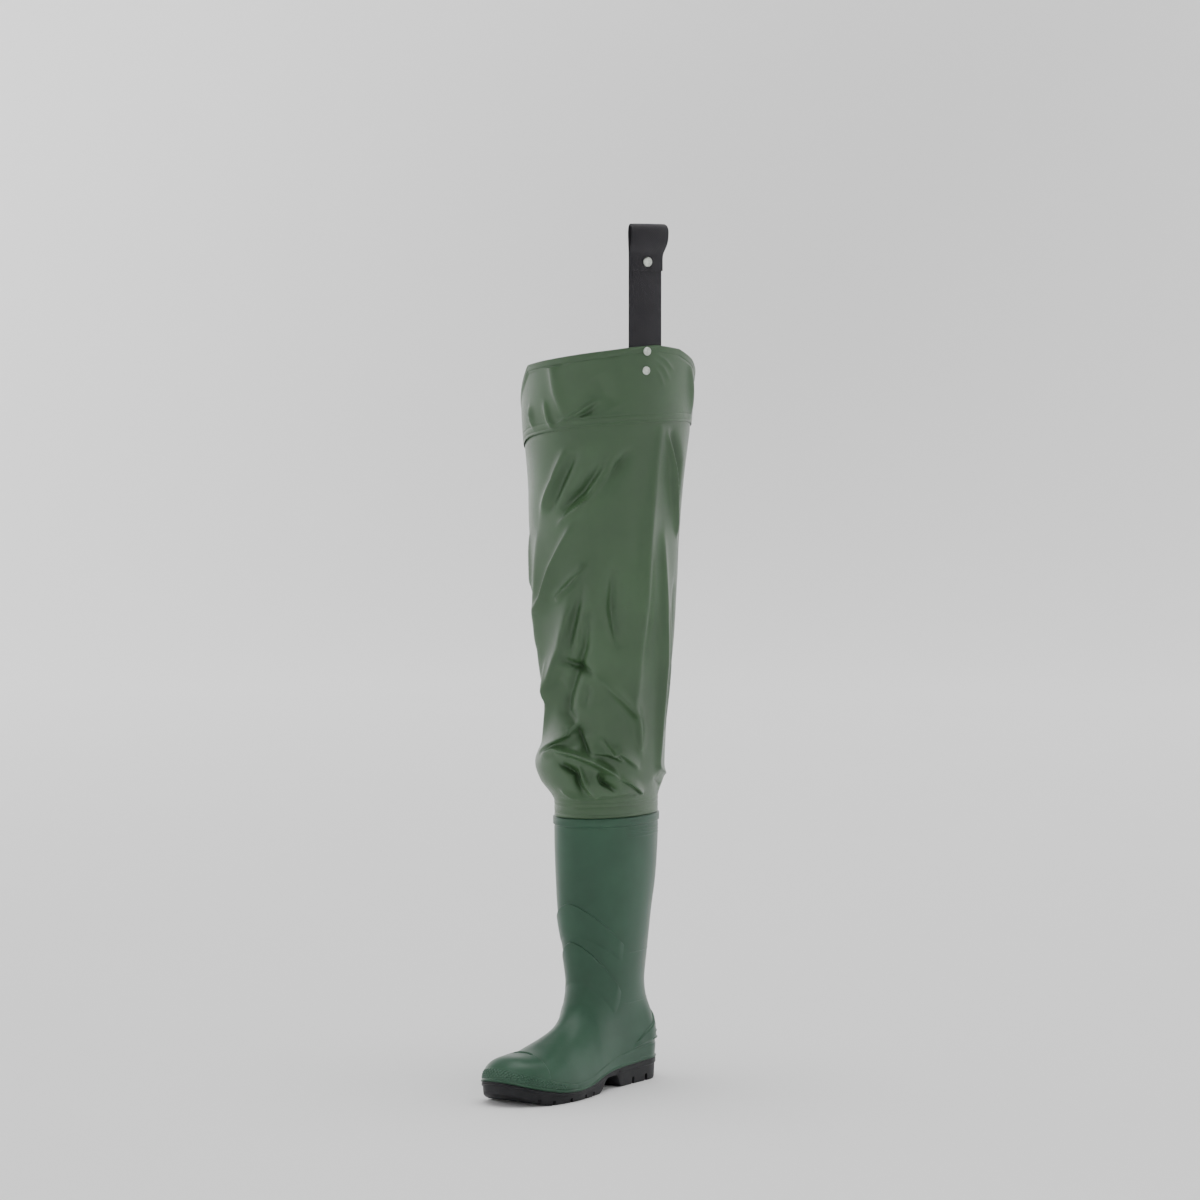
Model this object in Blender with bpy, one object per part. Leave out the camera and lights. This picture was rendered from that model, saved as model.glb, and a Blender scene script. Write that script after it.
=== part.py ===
"""Left hip wader: a moulded boot with a welded fabric leg, worn upright, standing empty on its sole.

Frame: metres, +Z up, toe towards -Y, outer (lateral) side towards +X. The origin is on the ground
under the middle of the heel. Along the foot, "reach" is the distance from the back of the heel
towards the toe, so y = HEEL_MIDDLE - reach.
"""

import math

import bmesh
import bpy
import numpy as np

MM = 0.001

# Driving sizes of the foot and of the moulded boot
FOOT_LENGTH = 300 * MM
BALL_WIDTH = 101 * MM
HEEL_WIDTH = 68 * MM
HEEL_MIDDLE = 56 * MM
HEEL_HEIGHT = 28 * MM
TOE_SPRING = 17 * MM
INSTEP_HEIGHT = 113 * MM
TOE_TOP_HEIGHT = 61 * MM
BOOT_HEIGHT = 358 * MM
ANKLE_WIDTH = 76 * MM
COLLAR_WIDTH = 110 * MM
BOOT_WALL = 2.3 * MM
CLEARANCE = 0.3 * MM

# Sole
SOLE_FLANGE = 2.2 * MM
SOLE_TOP_ALLOWANCE = 0.25 * MM
LUG_DEPTH = 5.5 * MM
HEEL_LUG_DEPTH = 9.0 * MM
LUG_GROOVE = 4.0 * MM
HEEL_GROOVE = 5.0 * MM
GROOVE_CHEVRON = 5.0 * MM
ARCH_HEIGHT = 16.5 * MM
HEEL_BACK_RISE = 3.0 * MM
FOREFOOT_GROOVES = (0.575, 0.645, 0.748, 0.843, 0.905)
HEEL_GROOVES = (0.14, 0.238)

# Moulded relief of the boot
WELT_HEIGHT = 2.2 * MM
WELT_REACH = 1.6 * MM
FOXING_AT_HEEL = 18 * MM
FOXING_AT_TOE = 9.5 * MM
FOXING_STEP = 0.8 * MM
COLLAR_BAND_HEIGHT = 10 * MM
COLLAR_BAND_STEP = 1.4 * MM
NECK_INSET = 2.6 * MM
RELIEF_STEP = 0.9 * MM
SHIELD_HIGH_TOP = 0.51 * (BOOT_HEIGHT - INSTEP_HEIGHT) + INSTEP_HEIGHT
SHIELD_HIGH_SIDE = 0.27 * (BOOT_HEIGHT - INSTEP_HEIGHT) + INSTEP_HEIGHT
SHIELD_HIGH_DEPTH = 0.147 * (BOOT_HEIGHT - INSTEP_HEIGHT)
SHIELD_HIGH_SPREAD = 0.4315
SHIELD_LOW_TOP = 0.31 * (BOOT_HEIGHT - INSTEP_HEIGHT) + INSTEP_HEIGHT
SHIELD_LOW_SIDE = 0.02 * (BOOT_HEIGHT - INSTEP_HEIGHT) + INSTEP_HEIGHT
SHIELD_LOW_DEPTH = 0.22 * (BOOT_HEIGHT - INSTEP_HEIGHT)
SHIELD_LOW_SPREAD = 0.4355
TOE_CAP_EDGE = 0.835
TOE_CAP_SPREAD = 0.2635
COUNTER_TOP = 0.85 * INSTEP_HEIGHT
COUNTER_SIDE = 0.41 * INSTEP_HEIGHT
COUNTER_SPREAD = 0.3415
TOE_CAP_STEP = 1.1 * MM
COUNTER_STEP = 1.2 * MM
SPUR_RIB_COUNT = 5
SPUR_RIB_PITCH = 0.071 * INSTEP_HEIGHT
SPUR_RIB_HEIGHT = 0.032 * INSTEP_HEIGHT
SPUR_RIB_STEP = 1.8 * MM
SPUR_LOWEST = 0.445 * INSTEP_HEIGHT
SPUR_SPREAD = 0.1685

# Insole
INSOLE_THICKNESS = 3.0 * MM
INSOLE_LIFT = 0.4 * MM
INSOLE_SIDE_GAP = 0.4 * MM

# Fabric leg
SLEEVE_OVERLAP = 13 * MM
LEG_WALL = 1.0 * MM
JOINT_BAND_HEIGHT = 19 * MM
JOINT_BAND_STEP = 0.7 * MM
SEAM_LAP = 12 * MM
THIGH_WIDTH = 210 * MM
THIGH_DEPTH = 216 * MM
SEAM_HEIGHT = 842 * MM
RIM_HEIGHT = 939 * MM
RIM_BEAD = 0.8 * MM
HEM_HEIGHT = 9 * MM
BAND_GAP = 0.5 * MM
LEG_BOTTOM = BOOT_HEIGHT - SLEEVE_OVERLAP + BAND_GAP
NECK_BLEND_START = 1 * MM
NECK_BLEND_END = 34 * MM
PANEL_AT_STRAP = RIM_HEIGHT - SEAM_HEIGHT

# Fold of slack cloth that hangs over the boot's inner front
FOLD_SWELL = 0.0619 * THIGH_WIDTH
FOLD_HEIGHT = LEG_BOTTOM + 0.134 * (SEAM_HEIGHT - LEG_BOTTOM)
FOLD_SPREAD = 0.0483 * (SEAM_HEIGHT - LEG_BOTTOM)
FOLD_ANGLE = -142.0

# Belt strap
STRAP_WIDTH = 45 * MM
STRAP_THICKNESS = 2.2 * MM
STRAP_ANGLE = -29.0
STRAP_CLEARANCE = 0.65 * MM
STRAP_TAIL = 44 * MM
STRAP_RISE = 151 * MM
LOOP_HEIGHT = 38.5 * MM
LOOP_GAP = 15 * MM
FLAP_LENGTH = 19.5 * MM
FLAP_BELOW_SNAP = 11 * MM
LAYER_GAP = 0.35 * MM

# Snap and rivets
SNAP_CAP_RADIUS = 6.3 * MM
RIVET_CAP_RADIUS = 5.4 * MM
RIVET_POST_RADIUS = 2.0 * MM
RIVET_CAP_HEIGHT = 1.6 * MM
UPPER_RIVET_BELOW_RIM = 8 * MM
RIVET_SPACING = 24 * MM
SNAP_CAP_HEIGHT = 2.2 * MM
SNAP_DIMPLE = 0.7 * MM
UPPER_RIVET_DIMPLE = 0.9 * MM
LOWER_RIVET_DIMPLE = 0.3 * MM
WASHER_THICKNESS = 0.8 * MM

# Mesh fineness
RING_HALF = 18
EDGE_SLOPE = 0.6 * MM

# Top of the sole along the foot: share of the foot's length, and share of the heel's height there
FEATHER_REACH = (0.0, 0.13, 0.28, 0.37, 0.47, 0.55, 0.63, 0.72, 0.80, 0.88, 0.95, 1.0)
FEATHER_RISE = (1.0, 0.965, 0.91, 0.875, 0.77, 0.61, 0.49, 0.455, 0.52, 0.69, 0.90, 1.10)

# Ridge of the boot seen from the side, toe to shin: reach as a share of the foot's length, and height
# as a share of the toe's top, of the instep, or of the rest of the shaft above the instep
RIDGE_TOE = ((1.03, 1.09), (0.96, 1.11), (0.92, 1.085), (0.86, 1.02))
RIDGE_VAMP = (
    (0.787, 0.559), (0.733, 0.602), (0.693, 0.642), (0.63, 0.712), (0.567, 0.805), (0.523, 0.92),
    (0.506, 1.0),
)
RIDGE_SHIN = (
    (0.487, 0.069), (0.485, 0.122), (0.493, 0.216), (0.51, 0.331), (0.523, 0.465), (0.528, 0.58),
    (0.532, 0.763), (0.533, 0.927), (0.533, 1.0),
)

# Back of the boot, heel to collar: reach as a share of the foot's length, and height as above
BACK_HEEL = (
    (-0.008, 0.20), (-0.010, 0.24), (-0.017, 0.336), (-0.020, 0.46), (-0.017, 0.549), (-0.010, 0.637),
    (0.0, 0.708), (0.010, 0.805), (0.027, 0.920),
)
BACK_SHIN = (
    (0.040, 0.012), (0.049, 0.069), (0.047, 0.122), (0.040, 0.216), (0.032, 0.331), (0.020, 0.465),
    (0.003, 0.58), (-0.010, 0.763), (-0.013, 0.927), (-0.013, 1.0),
)

# Plan of the foot: share of the length; half widths to the outer and the inner side as shares of the
# ball's half width; and the centreline's shift as a share of it
PLAN_REACH = (0.0, 0.10, 0.18, 0.28, 0.40, 0.50, 0.60, 0.68, 0.76, 0.84, 0.92, 1.0)
PLAN_OUTER = (0.70, 0.71, 0.72, 0.73, 0.76, 0.84, 0.94, 1.0, 1.01, 1.0, 0.98, 0.94)
PLAN_INNER = (0.70, 0.70, 0.68, 0.63, 0.60, 0.68, 0.84, 0.95, 1.0, 1.01, 1.0, 0.98)
PLAN_SHIFT = (0.0, 0.0, 0.0, 0.0, 0.01, 0.02, 0.02, 0.01, -0.01, -0.04, -0.10, -0.18)
TOE_ROUND = 0.36
TOE_BLUNTNESS = 3.2
HEEL_ROUND = 0.125
HEEL_BLUNTNESS = 2.3

# Half width of the shaft: share of the height above the instep, and share of the way from the
# ankle's half width to the collar's
SHAFT_RISE = (-0.30, -0.15, 0.0, 0.08, 0.18, 0.31, 0.45, 0.60, 0.75, 0.88, 1.0)
SHAFT_SPREAD = (0.0, -0.02, -0.02, 0.02, 0.16, 0.40, 0.62, 0.80, 0.92, 0.97, 1.0)

# Rings that the boot's wall is built on. The lower ones follow the sole at a height above it; the
# others lie in planes from a height at the back to a point on the ridge in front. Columns: height
# above the sole at the heel and at the toe, share of plane, back height, front reach, front height;
# heights as shares of the instep's, reach as a share of the foot's length.
BOOT_RINGS = (
    (0.200, 0.115, 0.12, 0.400, 1.000, 0.420),
    (0.240, 0.145, 0.30, 0.450, 1.000, 0.450),
    (0.270, 0.175, 0.52, 0.490, 1.000, 0.475),
    (0.300, 0.200, 0.75, 0.520, 0.960, 0.500),
    (0.330, 0.220, 0.92, 0.545, 0.900, 0.510),
    (0.330, 0.220, 1.00, 0.575, 0.860, 0.513),
    (0.330, 0.220, 1.00, 0.605, 0.800, 0.543),
    (0.330, 0.220, 1.00, 0.645, 0.740, 0.588),
    (0.330, 0.220, 1.00, 0.690, 0.683, 0.649),
    (0.330, 0.220, 1.00, 0.740, 0.627, 0.712),
    (0.330, 0.220, 1.00, 0.800, 0.577, 0.788),
    (0.330, 0.220, 1.00, 0.870, 0.540, 0.872),
    (0.330, 0.220, 1.00, 0.950, 0.513, 0.965),
    (0.330, 0.220, 1.00, 1.045, 0.495, 1.084),
    (0.330, 0.220, 1.00, 1.165, 0.486, 1.221),
    (0.330, 0.220, 1.00, 1.320, 0.490, 1.389),
    (0.330, 0.220, 1.00, 1.510, 0.500, 1.575),
    (0.330, 0.220, 1.00, 1.760, 0.515, 1.814),
    (0.330, 0.220, 1.00, 2.080, 0.526, 2.124),
    (0.330, 0.220, 1.00, 2.450, 0.531, 2.470),
    (0.330, 0.220, 1.00, 2.750, 0.532, 2.755),
)

# Side of the sole from its top to its tread: share of its thickness there, and how far it stands out as a
# share of the flange
SOLE_LEVELS = ((0.0, 1.0), (0.20, 1.0), (0.26, 0.41), (0.80, 0.09), (1.0, -0.36))

# Rows of the leg: share of the height from its foot to the thigh seam
LEG_ROWS = (0.053, 0.078, 0.102, 0.126, 0.150, 0.178, 0.219, 0.291, 0.392, 0.513, 0.644, 0.774)

# Fabric leg: share of the height from the boot's band to the thigh seam; half width and half depth as
# shares of the thigh's; shift of the middle to the outer side and to the toe, as shares of the
# thigh's half width
LEG_RISE = (0.0, 0.05, 0.11, 0.20, 0.31, 0.42, 0.54, 0.66, 0.78, 0.89, 1.0, 1.14)
LEG_HALF_WIDTH = (0.54, 0.59, 0.635, 0.66, 0.70, 0.76, 0.815, 0.845, 0.875, 0.91, 0.97, 1.01)
LEG_HALF_DEPTH = (0.795, 0.825, 0.80, 0.785, 0.795, 0.84, 0.87, 0.89, 0.92, 0.95, 0.985, 1.01)
LEG_SHIFT_OUT = (0.0, -0.01, -0.02, -0.02, -0.01, -0.02, -0.04, -0.065, -0.08, -0.09, -0.10, -0.10)
LEG_SHIFT_TOE = (0.21, 0.23, 0.22, 0.19, 0.18, 0.18, 0.17, 0.15, 0.12, 0.09, 0.06, 0.04)

# Top edge and thigh seam round the leg: angle from the outer side (negative towards the front), drop
# of the top edge and drop of the seam as shares of the panel's height at the strap
RIM_ANGLE = (-180, -160, -140, -118, -100, -70, -40, -22, 0, 20, 40, 65, 95, 125, 155, 180)
RIM_DROP = (1.24, 1.10, 0.72, 0.26, 0.20, 0.11, 0.03, 0.0, 0.05, 0.18, 0.38, 0.58, 0.74, 0.93, 1.15, 1.24)
SEAM_DROP = (0.48, 0.43, 0.31, 0.19, 0.13, 0.06, 0.01, 0.0, -0.01, 0.0, 0.04, 0.12, 0.20, 0.30, 0.42, 0.48)


def spline(stations, values):
    """A natural cubic through the table's rows, straight beyond its ends."""
    x, y = np.array(stations, float), np.array(values, float)
    h, n = np.diff(x), len(x)
    system, right = np.eye(n), np.zeros(n)
    for i in range(1, n - 1):
        system[i, i - 1 : i + 2] = h[i - 1], 2 * (h[i - 1] + h[i]), h[i]
        right[i] = 3 * ((y[i + 1] - y[i]) / h[i] - (y[i] - y[i - 1]) / h[i - 1])
    c = np.linalg.solve(system, right)
    b = np.diff(y) / h - h * (2 * c[:-1] + c[1:]) / 3
    d = np.diff(c) / (3 * h)
    end_slope = b[-1] + h[-1] * (2 * c[-2] + 3 * d[-1] * h[-1])

    def value(at):
        at = np.asarray(at, float)
        inside = np.clip(at, x[0], x[-1])
        i = np.clip(np.searchsorted(x, inside, side="right") - 1, 0, n - 2)
        t = inside - x[i]
        found = y[i] + t * (b[i] + t * (c[i] + t * d[i]))
        return found + np.minimum(at - x[0], 0) * b[0] + np.maximum(at - x[-1], 0) * end_slope

    return value


def smoothstep(low, high, at):
    t = np.clip((np.asarray(at, float) - low) / (high - low), 0, 1)
    return t * t * (3 - 2 * t)


def shaft_height(share):
    return INSTEP_HEIGHT + share * (BOOT_HEIGHT - INSTEP_HEIGHT)


def profile(points):
    """Many (reach, height) points along a smooth line through the given ones."""
    points = np.array(points)
    steps = np.arange(len(points))
    fine = np.linspace(0, len(points) - 1, 600)
    return spline(steps, points[:, 0])(fine), spline(steps, points[:, 1])(fine)


RIDGE = profile(
    [(r * FOOT_LENGTH, h * TOE_TOP_HEIGHT) for r, h in RIDGE_TOE]
    + [(r * FOOT_LENGTH, h * INSTEP_HEIGHT) for r, h in RIDGE_VAMP]
    + [(r * FOOT_LENGTH, shaft_height(h)) for r, h in RIDGE_SHIN]
)
BACK = profile(
    [(r * FOOT_LENGTH, h * INSTEP_HEIGHT) for r, h in BACK_HEEL]
    + [(r * FOOT_LENGTH, shaft_height(h)) for r, h in BACK_SHIN]
)
feather = spline([r * FOOT_LENGTH for r in FEATHER_REACH], [h * HEEL_HEIGHT for h in FEATHER_RISE])
plan_outer = spline(PLAN_REACH, PLAN_OUTER)
plan_inner = spline(PLAN_REACH, PLAN_INNER)
plan_shift = spline(PLAN_REACH, PLAN_SHIFT)
shaft_spread = spline(SHAFT_RISE, SHAFT_SPREAD)


def ridge_height(reach):
    """Height of the ridge above a reach; behind the shin it runs on steeply up the shaft."""
    vamp = RIDGE[1] < 1.2 * INSTEP_HEIGHT
    r, h = RIDGE[0][vamp][::-1], RIDGE[1][vamp][::-1]
    behind = np.maximum(r[0] - reach, 0)
    return np.interp(reach, r, h) + 3 * behind


def front_reach(height):
    rising = RIDGE[0] < RIDGE_VAMP[0][0] * FOOT_LENGTH
    return np.interp(height, RIDGE[1][rising], RIDGE[0][rising])


def back_reach(height):
    return np.interp(height, BACK[1], BACK[0])


def foot_part(reach, height, side):
    """Half width of the foot at a place in the side view, 0 outside it."""
    share = reach / FOOT_LENGTH
    half = 0.5 * BALL_WIDTH * np.where(side > 0, plan_outer(share), plan_inner(share))
    half = half + 0.5 * (HEEL_WIDTH - 0.7 * BALL_WIDTH) * (1 - smoothstep(0.25, 0.5, share))
    base = feather(reach)
    up = np.clip((height - base) / (ridge_height(reach) - base), 0, 1)
    toe = np.clip((share - 1 + TOE_ROUND) / TOE_ROUND, 0, 1)
    heel = np.clip(1 - (reach - back_reach(height)) / (HEEL_ROUND * FOOT_LENGTH), 0, 1)
    arch = 1.8 + 0.6 * smoothstep(0.6, 0.85, share)
    left = 1 - toe**TOE_BLUNTNESS - heel**HEEL_BLUNTNESS - up**arch
    return half * np.maximum(left, 0) ** (1 / arch)


def shaft_part(reach, height):
    """Half width of the shaft at a place in the side view, 0 outside it."""
    rise = (height - INSTEP_HEIGHT) / (BOOT_HEIGHT - INSTEP_HEIGHT)
    half = 0.5 * (ANKLE_WIDTH + (COLLAR_WIDTH - ANKLE_WIDTH) * shaft_spread(rise))
    front, back = front_reach(height), back_reach(height)
    across = np.clip(np.abs((2 * reach - front - back) / (front - back)), 0, 1)
    return half * (1 - across**2.1) ** (1 / 2.1)


def boot_x(reach, height, side):
    """x of the boot's outer surface, on the outer side (+1) or the inner side (-1)."""
    blend = smoothstep(0.70 * INSTEP_HEIGHT, 1.02 * INSTEP_HEIGHT, height)
    half = (1 - blend) * foot_part(reach, height, side) + blend * shaft_part(reach, height)
    middle = (1 - blend) * 0.5 * BALL_WIDTH * plan_shift(reach / FOOT_LENGTH)
    return middle + side * half, half


def ring_height(ring, reach):
    heel_above, toe_above, plane, back, front, front_height = ring
    back, front_height = back * INSTEP_HEIGHT, front_height * INSTEP_HEIGHT
    start, end = back_reach(back), front * FOOT_LENGTH
    line = back + (front_height - back) * (reach - start) / (end - start)
    above = heel_above + (toe_above - heel_above) * smoothstep(0.2, 0.55, reach / FOOT_LENGTH)
    return (1 - plane) * (feather(reach) + above * INSTEP_HEIGHT) + plane * line


def boot_ring(ring, half_count=RING_HALF):
    """Points round the boot on one ring: outer side from heel to toe, then inner side back."""
    scan = np.linspace(-0.06 * FOOT_LENGTH, 1.02 * FOOT_LENGTH, 3001)
    inside = scan[boot_x(scan, ring_height(ring, scan), 1)[1] > 0]
    step = scan[1] - scan[0]
    ends = [inside[0] - step, inside[-1] + step]
    for _ in range(24):
        for k, kept in ((0, inside[0]), (1, inside[-1])):
            middle = 0.5 * (ends[k] + kept)
            within = boot_x(np.array([middle]), ring_height(ring, np.array([middle])), 1)[1][0] > 0
            if within and k == 0:
                inside[0] = middle
            elif within:
                inside[-1] = middle
            else:
                ends[k] = middle
    turn = np.linspace(0, math.pi, half_count + 1)
    reach = inside[0] + (inside[-1] - inside[0]) * (1 - np.cos(turn)) / 2
    height = ring_height(ring, reach)
    outer, _ = boot_x(reach, height, 1)
    inner, _ = boot_x(reach, height, -1)
    points = [(outer[i], HEEL_MIDDLE - reach[i], height[i]) for i in range(half_count + 1)]
    points += [(inner[i], HEEL_MIDDLE - reach[i], height[i]) for i in range(half_count - 1, 0, -1)]
    return np.array(points)


def level_ring(height):
    """A level ring of the shaft at a height in metres."""
    share = height / INSTEP_HEIGHT
    return (0.3, 0.3, 1.0, share, float(front_reach(height)) / FOOT_LENGTH, share)


def follow(at_heel, at_toe=None):
    """A ring that follows the sole's top at heights in metres above it."""
    at_toe = at_heel if at_toe is None else at_toe
    return (at_heel / INSTEP_HEIGHT, at_toe / INSTEP_HEIGHT, 0.0, 0.3, 1.0, 0.5)


def outward(rings):
    """Unit normals of a grid of rings, pointing out of the boot; the lowest ring's are level."""
    rings = np.array(rings)
    along = np.roll(rings, -1, axis=1) - np.roll(rings, 1, axis=1)
    up = np.empty_like(rings)
    up[1:-1] = rings[2:] - rings[:-2]
    up[0], up[-1] = rings[1] - rings[0], rings[-1] - rings[-2]
    normals = np.cross(up, along)
    normals[0, :, 2] = 0
    normals[-1, :, 2] = 0
    return normals / np.linalg.norm(normals, axis=2, keepdims=True)


def new_object(name, mesh, material):
    made = bpy.data.objects.new(name, mesh)
    bpy.context.scene.collection.objects.link(made)
    if material:
        mesh.materials.append(material)
    return made


def mesh_from(name, points, faces, smooth_angle=40):
    mesh = bpy.data.meshes.new(name)
    mesh.from_pydata([tuple(p) for p in points], [], faces)
    work = bmesh.new()
    work.from_mesh(mesh)
    bmesh.ops.recalc_face_normals(work, faces=work.faces)
    work.to_mesh(mesh)
    work.free()
    mesh.shade_smooth()
    mesh.set_sharp_from_angle(angle=math.radians(smooth_angle))
    return mesh


def shell_mesh(name, outer, inner):
    """A closed wall between two grids of rings, which run from the lower edge to the upper one."""
    outer, inner = np.array(outer), np.array(inner)
    loops = list(outer) + list(inner[::-1])
    count = len(outer[0])
    points = np.concatenate(loops)
    faces = []
    for k in range(len(loops)):
        a, b = k * count, (k + 1) % len(loops) * count
        faces += [(a + i, a + (i + 1) % count, b + (i + 1) % count, b + i) for i in range(count)]
    return mesh_from(name, points, faces)


def patch_mesh(name, outer, inner):
    """A closed slab between two grids of rows that aren't closed round."""
    outer, inner = np.array(outer), np.array(inner)
    rows, columns = outer.shape[:2]
    points = np.concatenate([outer.reshape(-1, 3), inner.reshape(-1, 3)])
    at = np.arange(rows * columns).reshape(rows, columns)
    faces = []
    for i in range(rows - 1):
        for j in range(columns - 1):
            cell = (at[i, j], at[i, j + 1], at[i + 1, j + 1], at[i + 1, j])
            faces += [cell, tuple(rows * columns + k for k in cell[::-1])]
    rim = list(at[0]) + list(at[1:, -1]) + list(at[-1, -2::-1]) + list(at[-2:0:-1, 0])
    for a, b in zip(rim, rim[1:] + rim[:1]):
        faces.append((a, b, rows * columns + b, rows * columns + a))
    return mesh_from(name, points, faces)


def cutter(name, mesh):
    """A helper that Booleans read and that isn't part of the wader."""
    made = new_object(name, mesh, None)
    made.hide_render = True
    made.display_type = "WIRE"
    return made


def combine(target, other, operation):
    step = target.modifiers.new(operation.title(), "BOOLEAN")
    step.operation = operation
    step.object = other
    step.solver = "EXACT"


def material(name, colour, roughness, metallic=0.0):
    made = bpy.data.materials.new(name)
    made.use_nodes = True
    shader = made.node_tree.nodes["Principled BSDF"]
    shader.inputs["Base Color"].default_value = (*colour, 1)
    shader.inputs["Roughness"].default_value = roughness
    shader.inputs["Metallic"].default_value = metallic
    return made


GREEN_PVC = material("green_pvc", (0.075, 0.135, 0.095), 0.42)
BLACK_PVC = material("black_pvc", (0.022, 0.022, 0.024), 0.55)
OLIVE_FABRIC = material("olive_fabric", (0.095, 0.135, 0.085), 0.38)
CHARCOAL_STRAP = material("charcoal_strap", (0.032, 0.031, 0.035), 0.6)
INSOLE_FELT = material("insole_felt", (0.18, 0.18, 0.17), 0.95)
NICKEL = material("nickel", (0.62, 0.64, 0.60), 0.35, 0.85)


def clear_scene():
    for thing in list(bpy.data.objects):
        bpy.data.objects.remove(thing)


def boot_wall_rows():
    """Rows of the boot's wall from the sole to its top edge: ring, step outside, step inside."""
    band_top = BOOT_HEIGHT - SLEEVE_OVERLAP
    band_low = band_top - COLLAR_BAND_HEIGHT
    edge = EDGE_SLOPE
    rows = [
        (follow(CLEARANCE), WELT_REACH, 0),
        (follow(WELT_HEIGHT), WELT_REACH, 0),
        (follow(WELT_HEIGHT + edge), FOXING_STEP, 0),
        (follow(FOXING_AT_HEEL - edge, FOXING_AT_TOE - edge), FOXING_STEP, 0),
        (follow(FOXING_AT_HEEL, FOXING_AT_TOE), 0, 0),
    ]
    rows += [(ring, 0, 0) for ring in BOOT_RINGS]
    rows += [
        (level_ring(band_low - edge), 0, 0),
        (level_ring(band_low), COLLAR_BAND_STEP, 0),
        (level_ring(band_top - edge), COLLAR_BAND_STEP, NECK_INSET),
        (level_ring(band_top), -NECK_INSET, NECK_INSET),
        (level_ring(BOOT_HEIGHT), -NECK_INSET, NECK_INSET),
    ]
    return rows


BOOT_ROWS = boot_wall_rows()
FOXING_ROW = 4
BOOT_GRID = np.array([boot_ring(ring) for ring, _, _ in BOOT_ROWS])
BOOT_NORMALS = outward(BOOT_GRID)


def boot_at(row, column):
    """A point of the boot's plain surface and its normal, at fractions of a row and a column."""
    rows, columns = BOOT_GRID.shape[:2]
    row = min(max(row, 0), rows - 1.0001)
    i, j = int(row), math.floor(column)
    a, b = row - i, column - j
    weights = (
        (i, j, (1 - a) * (1 - b)), (i + 1, j, a * (1 - b)), (i, j + 1, (1 - a) * b), (i + 1, j + 1, a * b),
    )
    point = sum(BOOT_GRID[r, c % columns] * w for r, c, w in weights)
    normal = sum(BOOT_NORMALS[r, c % columns] * w for r, c, w in weights)
    return point, normal / np.linalg.norm(normal)


def row_at_height(column, height):
    """The row at which a column of the boot's surface reaches a height."""
    rows = np.linspace(FOXING_ROW, len(BOOT_ROWS) - 1, 400)
    heights = [boot_at(row, column)[0][2] for row in rows]
    return float(np.interp(height, heights, rows))


def row_at_reach(column, reach):
    """The row at which a column over the toe comes back to a reach."""
    rows = np.linspace(FOXING_ROW, FOXING_ROW + 14, 300)
    reaches = np.array([HEEL_MIDDLE - boot_at(row, column)[0][1] for row in rows])
    return float(np.interp(-reach, -reaches, rows))


def relief(name, columns, low_rows, high_rows, step, row_count=5):
    """A slab on the boot's surface between two lines, raised by a step and rooted in the wall."""
    outer, inner = [], []
    for share in np.linspace(0, 1, row_count):
        places = [boot_at(a + (b - a) * share, c) for c, a, b in zip(columns, low_rows, high_rows)]
        outer.append([p + n * step for p, n in places])
        inner.append([p - n * 0.5 * BOOT_WALL for p, n in places])
    return cutter(name, patch_mesh(name, outer, inner))


def build_upper():
    outer_step = np.array([row[1] for row in BOOT_ROWS])[:, None, None]
    inner_step = np.array([row[2] for row in BOOT_ROWS])[:, None, None]
    outer = BOOT_GRID + BOOT_NORMALS * outer_step
    inner = BOOT_GRID - BOOT_NORMALS * (BOOT_WALL + inner_step)
    made = new_object("upper", shell_mesh("upper", outer, inner), GREEN_PVC)
    for slab in boot_reliefs():
        combine(made, slab, "UNION")
    return made


def relief_columns(middle, share, count):
    """Columns of a slab to both sides of a middle one, as far as a share of half the ring.

    An even count keeps the slab's columns between the wall's own.
    """
    return np.linspace(middle - share * RING_HALF, middle + share * RING_HALF, count)


def shin_shield(name, centre_height, side_height, depth, share):
    """A raised shield over the shin, its edges falling towards the sides."""
    columns = relief_columns(RING_HALF, share, 14)
    away = np.abs(columns - RING_HALF) / (share * RING_HALF)
    top = centre_height + (side_height - centre_height) * away**1.5
    low = top - depth * (1 - 0.55 * away)
    low_rows = [row_at_height(c, z) for c, z in zip(columns, low)]
    high_rows = [row_at_height(c, z) for c, z in zip(columns, top)]
    return relief(name, columns, low_rows, high_rows, RELIEF_STEP)


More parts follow.
